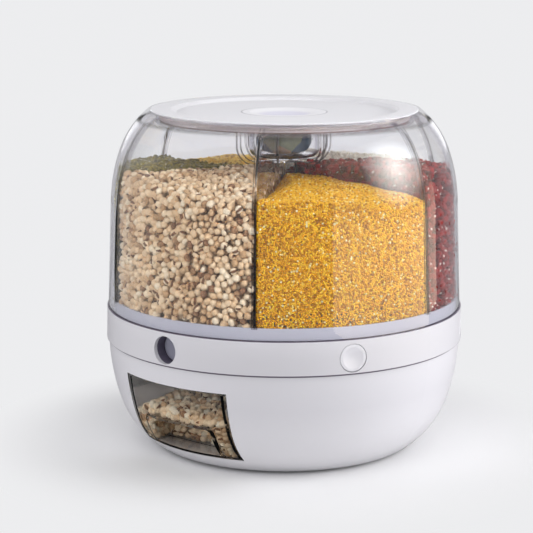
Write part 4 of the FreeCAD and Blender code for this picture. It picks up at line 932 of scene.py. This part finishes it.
GRAIN_LOOKS = {
    # heap: name, tones, colour of the mark, its start and end, roughness, dents, gleam
    "jobs_tears": ("tear_husk", (
        (0.0, (0.22, 0.11, 0.06)), (0.08, (0.54, 0.34, 0.18)), (0.4, (0.78, 0.56, 0.34)),
        (0.8, (0.90, 0.71, 0.48)), (1.0, (0.96, 0.83, 0.62))),
        (0.17, 0.08, 0.04), (0.25, 0.7), (0.4, 0.55), 0.15, 0.2),
    "millet": ("millet_husk", (
        (0.0, (0.46, 0.17, 0.005)), (0.16, (0.74, 0.33, 0.012)), (0.45, (0.95, 0.49, 0.012)),
        # the near-white top tone is a painted highlight, for sparkles of light on some seeds
        (0.93, (1.0, 0.67, 0.03)), (1.0, (1.0, 0.95, 0.6))),
        (0.6, 0.3, 0.02), (0.9, 1.0), (0.15, 0.4), 0.1, 0.2),
    "red_beans": ("bean_skin", (
        (0.0, (0.08, 0.006, 0.006)), (0.3, (0.20, 0.012, 0.011)), (1.0, (0.36, 0.026, 0.022))),
        (0.85, 0.78, 0.7), (0.45, 0.65), (0.2, 0.3), 0.05, 0.05),
    "cream_rice": ("rice_skin", (
        (0.0, (0.62, 0.54, 0.42)), (0.4, (0.86, 0.80, 0.68)), (1.0, (0.95, 0.91, 0.82))),
        (0.8, 0.75, 0.6), (0.9, 1.0), (0.4, 0.5), 0.05, 0.2),
    "corn_grits": ("grit_break", (
        (0.0, (0.52, 0.27, 0.03)), (0.4, (0.92, 0.56, 0.08)), (1.0, (1.0, 0.78, 0.24))),
        (0.8, 0.6, 0.2), (0.9, 1.0), (0.5, 0.7), 0.2, 0.2),
    "mung_beans": ("mung_skin", (
        (0.0, (0.07, 0.056, 0.003)), (0.4, (0.17, 0.137, 0.006)), (1.0, (0.31, 0.25, 0.02))),
        (0.7, 0.68, 0.5), (0.5, 0.7), (0.25, 0.35), 0.05, 0.03),
    # paler tones: painted light for the tears in the shaded box
    "box_grain": ("box_tear_husk_painted_light", (
        (0.0, (0.30, 0.16, 0.09)), (0.08, (0.68, 0.46, 0.27)), (0.4, (0.92, 0.72, 0.50)),
        (0.8, (0.98, 0.85, 0.64)), (1.0, (0.98, 0.92, 0.78))),
        (0.2, 0.10, 0.05), (0.25, 0.7), (0.4, 0.55), 0.15, 0.2),
}
GRAIN_FINISH = {heap: grain_finish(*look) for heap, look in GRAIN_LOOKS.items()}
print("grain finishes:", len(GRAIN_FINISH))

# %% [markdown]
# Behind its layers a heap would be hollow and dark. The core closes it: a grid, pulled
# down into a solid and bent to the wedge, in one tone of its grain. For the tears and
# the beans that tone is a dark one, painted shade for the gaps between the grains.

# %% The core behind the grains
# tears and beans get a dark core: painted shade for the gaps between grains
CORE_TONE = {"jobs_tears": 0.06, "millet": 0.45, "red_beans": 0.2, "cream_rice": 0.4,
             "corn_grits": 0.4, "mung_beans": 0.3}
HUB_FOOT_Z = 129.0 * MM
CORE_FROM_R, CORE_WALL_Z, CORE_GAP = 0.016, 0.15, 1.6


def core(room, pitch, deep, finish):
    """A closed wedge under the layers, from a grid that is bent to the heap."""
    inset = deep * LAYER_STEP * pitch
    start_fresh()
    bpy.ops.mesh.primitive_grid_add(x_subdivisions=16, y_subdivisions=12, size=1.0)
    piece = bpy.context.object
    edit()
    bpy.ops.mesh.extrude_region_move(TRANSFORM_OT_translate={"value": (0, 0, -1)})
    done()
    co = points_of(piece)
    radius = CORE_FROM_R + (co[:, 0] + 0.5) * (room.wall(CORE_WALL_Z) - inset - CORE_FROM_R)
    angle = co[:, 1] * 2 * (math.radians(30) - CORE_GAP * DIVIDER_HALF / radius)
    p = np.stack([radius * np.cos(angle), radius * np.sin(angle), co[:, 2] * 0], axis=1)
    limit = np.minimum(radius, room.wall(room.top(p)) - inset) / radius
    high = co[:, 2] > -0.5
    p[high, :2] *= limit[high, None]
    p[:, 2] = np.where(high, room.top(p) - inset, HUB_FOOT_Z)
    piece.data.vertices.foreach_set("co", room.world(p).ravel())
    piece.data.update()
    piece.name = room.fill + "_core"
    give_values(piece.data, "tone", np.full(len(co), CORE_TONE[room.fill]))
    edit()
    bpy.ops.mesh.normals_make_consistent(inside=False)
    done()
    bpy.ops.object.shade_smooth_by_angle(angle=math.radians(40))
    piece.data.materials.append(finish)
    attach(piece, "drum")


print("core tones:", CORE_TONE)

# %% [markdown]
# The heights of the heaps come from the photograph: the left heap falls from the divider
# at the far left to the one in front, and the yellow one falls to the right. The three
# heaps at the back only show a strip over the front ones. A heap with very many grains
# is cut into several pieces, each a band of its height.

# %% Filling the drum
CROPS = [
    # heap, bearing, height at the left and right end of the wall, crest, dip, pitch
    ("jobs_tears", 0, 219.5, 205, 221, 0, 5.4),
    ("millet", 60, 211, 204, 213.5, 7, 1.75),
    ("red_beans", 120, 221, 215, 222.5, 0, 5.6),
    ("cream_rice", 180, 214, 214, 216.5, 0, 3.3),
    ("corn_grits", 240, 211, 211, 212, 0, 2.9),
    ("mung_beans", 300, 217, 222, 215, 0, 4.2),
]
LAYERS = 2
FINE_PITCH = 2
FINE_ROUNDS, ROUNDS = 3, 5
GRAIN_SIZE = {"jobs_tears": 6.6, "millet": 1.95, "red_beans": 7.8, "cream_rice": 6.2,
              "corn_grits": 3.4, "mung_beans": 5.1}
FIRST_SEED = 40
MOST_PER_PIECE = 190000


def triangles(grain):
    return sum(len(p.vertices) - 2 for p in grain.data.polygons)


for number, (crop, bearing, left, right, crest, dip, pitch) in enumerate(CROPS):
    rng = np.random.default_rng(FIRST_SEED + number)
    room = Compartment(crop, bearing, left, right, crest, dip)
    fine = pitch < FINE_PITCH
    spots = room.layers(pitch * MM, rng, LAYERS, FINE_DISORDER if fine else DISORDER)
    spots = push_apart(spots, pitch * MM, room.hold(pitch * MM / 2),
                       FINE_ROUNDS if fine else ROUNDS)
    sizes = GRAIN_SIZE[crop] * MM * rng.uniform(0.85, 1.08, len(spots))
    places = room.world(spots)
    order = np.argsort(places[:, 2])
    pieces = 1 + len(spots) * triangles(GRAINS[crop]) // MOST_PER_PIECE
    for part, chosen in enumerate(np.array_split(order, pieces)):
        name = crop + "_grains" + ("_%d" % (part + 1) if pieces > 1 else "")
        heap = sow(name, GRAINS[crop], places[chosen], sizes[chosen], rng,
                   GRAIN_FINISH[crop], "drum")
        if part == 0:
            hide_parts(crop)
    core(room, pitch * MM, LAYERS, GRAIN_FINISH[crop])
    print(crop, len(spots), "grains in", pieces, "pieces")

# %% [markdown]
# The box under the window holds what the button over it has let out. Its heap is packed
# as a whole, because its corners round the finger notch all show through the tinted
# wall, and it rises from the front to the right and the back as in the photograph.

# %% Filling the receiving box
BOX_HALF_W, BOX_BACK_Y, BOX_FLOOR_Z = 43.6 * MM, -54.6 * MM, 15.8 * MM
NOTCH_HALF_W, NOTCH_TOP_Z, NOTCH_BACK_Y = 34.4 * MM, 40.5 * MM, -97.6 * MM
BOX_WALL = 2.5 * MM
FRONT_HALF_W, FRONT_FROM_Y, FRONT_LEVELS, LEVEL_REACH = 0.046, -0.1, 12, 4 * MM
FRONT_HEIGHTS = ([0, 0.25, 0.6, 1], [0.042, 0.052, 0.050, 0.046])
BACK_LIFTS = ([0, 0.4, 1], [0.004, 0.010, 0.013])
RISE_FROM_Y, RISE_LENGTH = -0.124, 0.06
HEAP_DEPTH, HEAP_WIDTH, HEAP_LENGTH, HEAP_MIDDLE_Y = 0.05, 0.094, 0.076, -0.091
SHEET_DISORDER = 0.1
BOX_PITCH, BOX_HALF_GRAIN, BOX_ROUNDS = 5.4 * MM, 2.6 * MM, 4


class BoxRoom:
    def __init__(self):
        spots = points_of(NODES["receiving_box"])
        front = spots[(np.abs(spots[:, 0]) < FRONT_HALF_W) & (spots[:, 1] < FRONT_FROM_Y)]
        radii = from_axis(front)
        self.levels = np.linspace(front[:, 2].min(), front[:, 2].max(), FRONT_LEVELS)
        near = [np.abs(front[:, 2] - z) < LEVEL_REACH for z in self.levels]
        self.radii = np.array([radii[n].max() for n in near]) - BOX_WALL

    def top(self, p):
        side = np.clip(p[:, 0] / BOX_HALF_W * 0.5 + 0.5, 0, 1)
        back = np.clip((p[:, 1] - RISE_FROM_Y) / RISE_LENGTH, 0, 1)
        return np.interp(side, *FRONT_HEIGHTS) + back * np.interp(side, *BACK_LIFTS)

    def hold(self, half):
        """A function that puts places back inside the walls and out of the finger notch."""
        def held(p):
            p = np.array(p)
            p[:, 0] = np.clip(p[:, 0], -BOX_HALF_W + half, BOX_HALF_W - half)
            p[:, 1] = np.minimum(p[:, 1], BOX_BACK_Y - half)
            p[:, 2] = np.clip(p[:, 2], BOX_FLOOR_Z + half, self.top(p) - half)
            most = np.interp(p[:, 2], self.levels, self.radii) - half
            reach = np.sqrt(np.maximum(most ** 2 - p[:, 0] ** 2, 0))
            p[:, 1] = np.maximum(p[:, 1], -reach)
            limits = np.array([NOTCH_HALF_W, NOTCH_TOP_Z, NOTCH_BACK_Y]) + half
            deep = limits - np.stack([np.abs(p[:, 0]), p[:, 2], p[:, 1]], axis=1)
            inside = (deep > 0).all(axis=1)
            least = deep.argmin(axis=1)
            sideways, up, back = (inside & (least == k) for k in range(3))
            p[sideways, 0] = np.sign(p[sideways, 0]) * limits[0]
            p[up, 2] = limits[1]
            p[back, 1] = limits[2]
            return p
        return held

    def spots(self, pitch, rng):
        """Honeycomb sheets, one over the other, through the whole heap."""
        found = []
        for k in range(int(HEAP_DEPTH / (LAYER_STEP * pitch)) + 1):
            s = honeycomb(HEAP_WIDTH, HEAP_LENGTH, pitch, rng)
            z = BOX_FLOOR_Z + pitch / 2 + k * LAYER_STEP * pitch
            p = np.stack([s[:, 0], s[:, 1] + HEAP_MIDDLE_Y, s[:, 0] * 0 + z], axis=1)
            p[:, 2] += rng.normal(scale=SHEET_DISORDER * pitch, size=len(p))
            most = np.interp(p[:, 2], self.levels, self.radii)
            kept = (p[:, 2] < self.top(p)) & (from_axis(p) < most)
            notch = ((np.abs(p[:, 0]) < NOTCH_HALF_W) & (p[:, 2] < NOTCH_TOP_Z)
                     & (p[:, 1] < NOTCH_BACK_Y))
            found.append(p[kept & ~notch])
        return np.concatenate(found)


rng = np.random.default_rng(77)
room = BoxRoom()
spots = push_apart(room.spots(BOX_PITCH, rng), BOX_PITCH, room.hold(BOX_HALF_GRAIN), BOX_ROUNDS)
sizes = GRAIN_SIZE["jobs_tears"] * MM * rng.uniform(0.85, 1.05, len(spots))
box_heap = sow("box_tears", GRAINS["jobs_tears"], spots, sizes, rng, GRAIN_FINISH["box_grain"],
               "grain_box")
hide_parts("box_grain")
print("box:", len(spots), "grains")

# %% [markdown]
# ## Moisture sachet
# A crumpled pouch of a mottled cloth lies in the clear cup under the lid. A squashed
# ball whose skin is pulled in by folds, and which lies flat on its foot, reads as one.

# %% The sachet
SACHET_R, SACHET_HALF_H, SACHET_Z = 22.5 * MM, 13.0 * MM, 239.0 * MM
SACHET_FOOT_Z = -11.0 * MM
FOLDS, FOLD_DEPTH = 9, 0.8
start_fresh()
bpy.ops.mesh.primitive_uv_sphere_add(segments=48, ring_count=24, radius=1.0)
sachet = sized("sachet", (SACHET_R, SACHET_R, SACHET_HALF_H))
rng = np.random.default_rng(5)
co = points_of(sachet)
folds = np.zeros(len(co))
for _ in range(FOLDS):
    way, swing = rng.normal(size=3), rng.uniform(0, 6.28)
    way *= rng.uniform(120, 420) / np.linalg.norm(way)
    folds += np.abs(np.sin(co @ way + swing)) - 0.5
out = co / np.linalg.norm(co, axis=1)[:, None]
co -= out * np.clip(folds * FOLD_DEPTH, 0, 4)[:, None] * MM
co[:, 2] = np.maximum(co[:, 2], SACHET_FOOT_Z) + SACHET_Z
sachet.data.vertices.foreach_set("co", co.ravel())
sachet.data.update()
bpy.ops.object.shade_smooth()
print("sachet", len(sachet.data.polygons), "faces")

# %% [markdown]
# The cloth is printed in flat patches of a few colours. A Voronoi texture gives each cell
# a chance value, and a ramp in steps turns it into one of the colours. A fine weave
# roughens it.

# %% Its cloth
CLOTH_TONES = ((0.0, (0.005, 0.03, 0.07)), (0.3, (0.16, 0.17, 0.09)), (0.5, (0.03, 0.10, 0.17)),
               (0.66, (0.34, 0.19, 0.10)), (0.78, (0.8, 0.8, 0.78)))
cloth, tree, shader = new_material("sachet_cloth")
place = here(tree)
patch = node(tree, "TexVoronoi", place, Scale=48.0, Randomness=1.0).outputs["Color"]
weave = node(tree, "TexNoise", place, Scale=1800.0, Detail=2.0).outputs["Fac"]
bump = node(tree, "Bump", Height=weave, Strength=0.4, Distance=0.0003)
feed(shader, Base_Color=ramp(tree, patch, CLOTH_TONES, "CONSTANT"),
     Roughness=map_range(tree, weave, 0.0, 1.0, 0.6, 0.9), Normal=bump.outputs["Normal"])
sachet.data.materials.append(cloth)
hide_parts("desiccant_sachet")
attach(sachet, "moisture_box")
print("cloth of", len(CLOTH_TONES), "colours")

# %% Grains put away
for grain in GRAINS.values():
    bpy.data.objects.remove(grain)
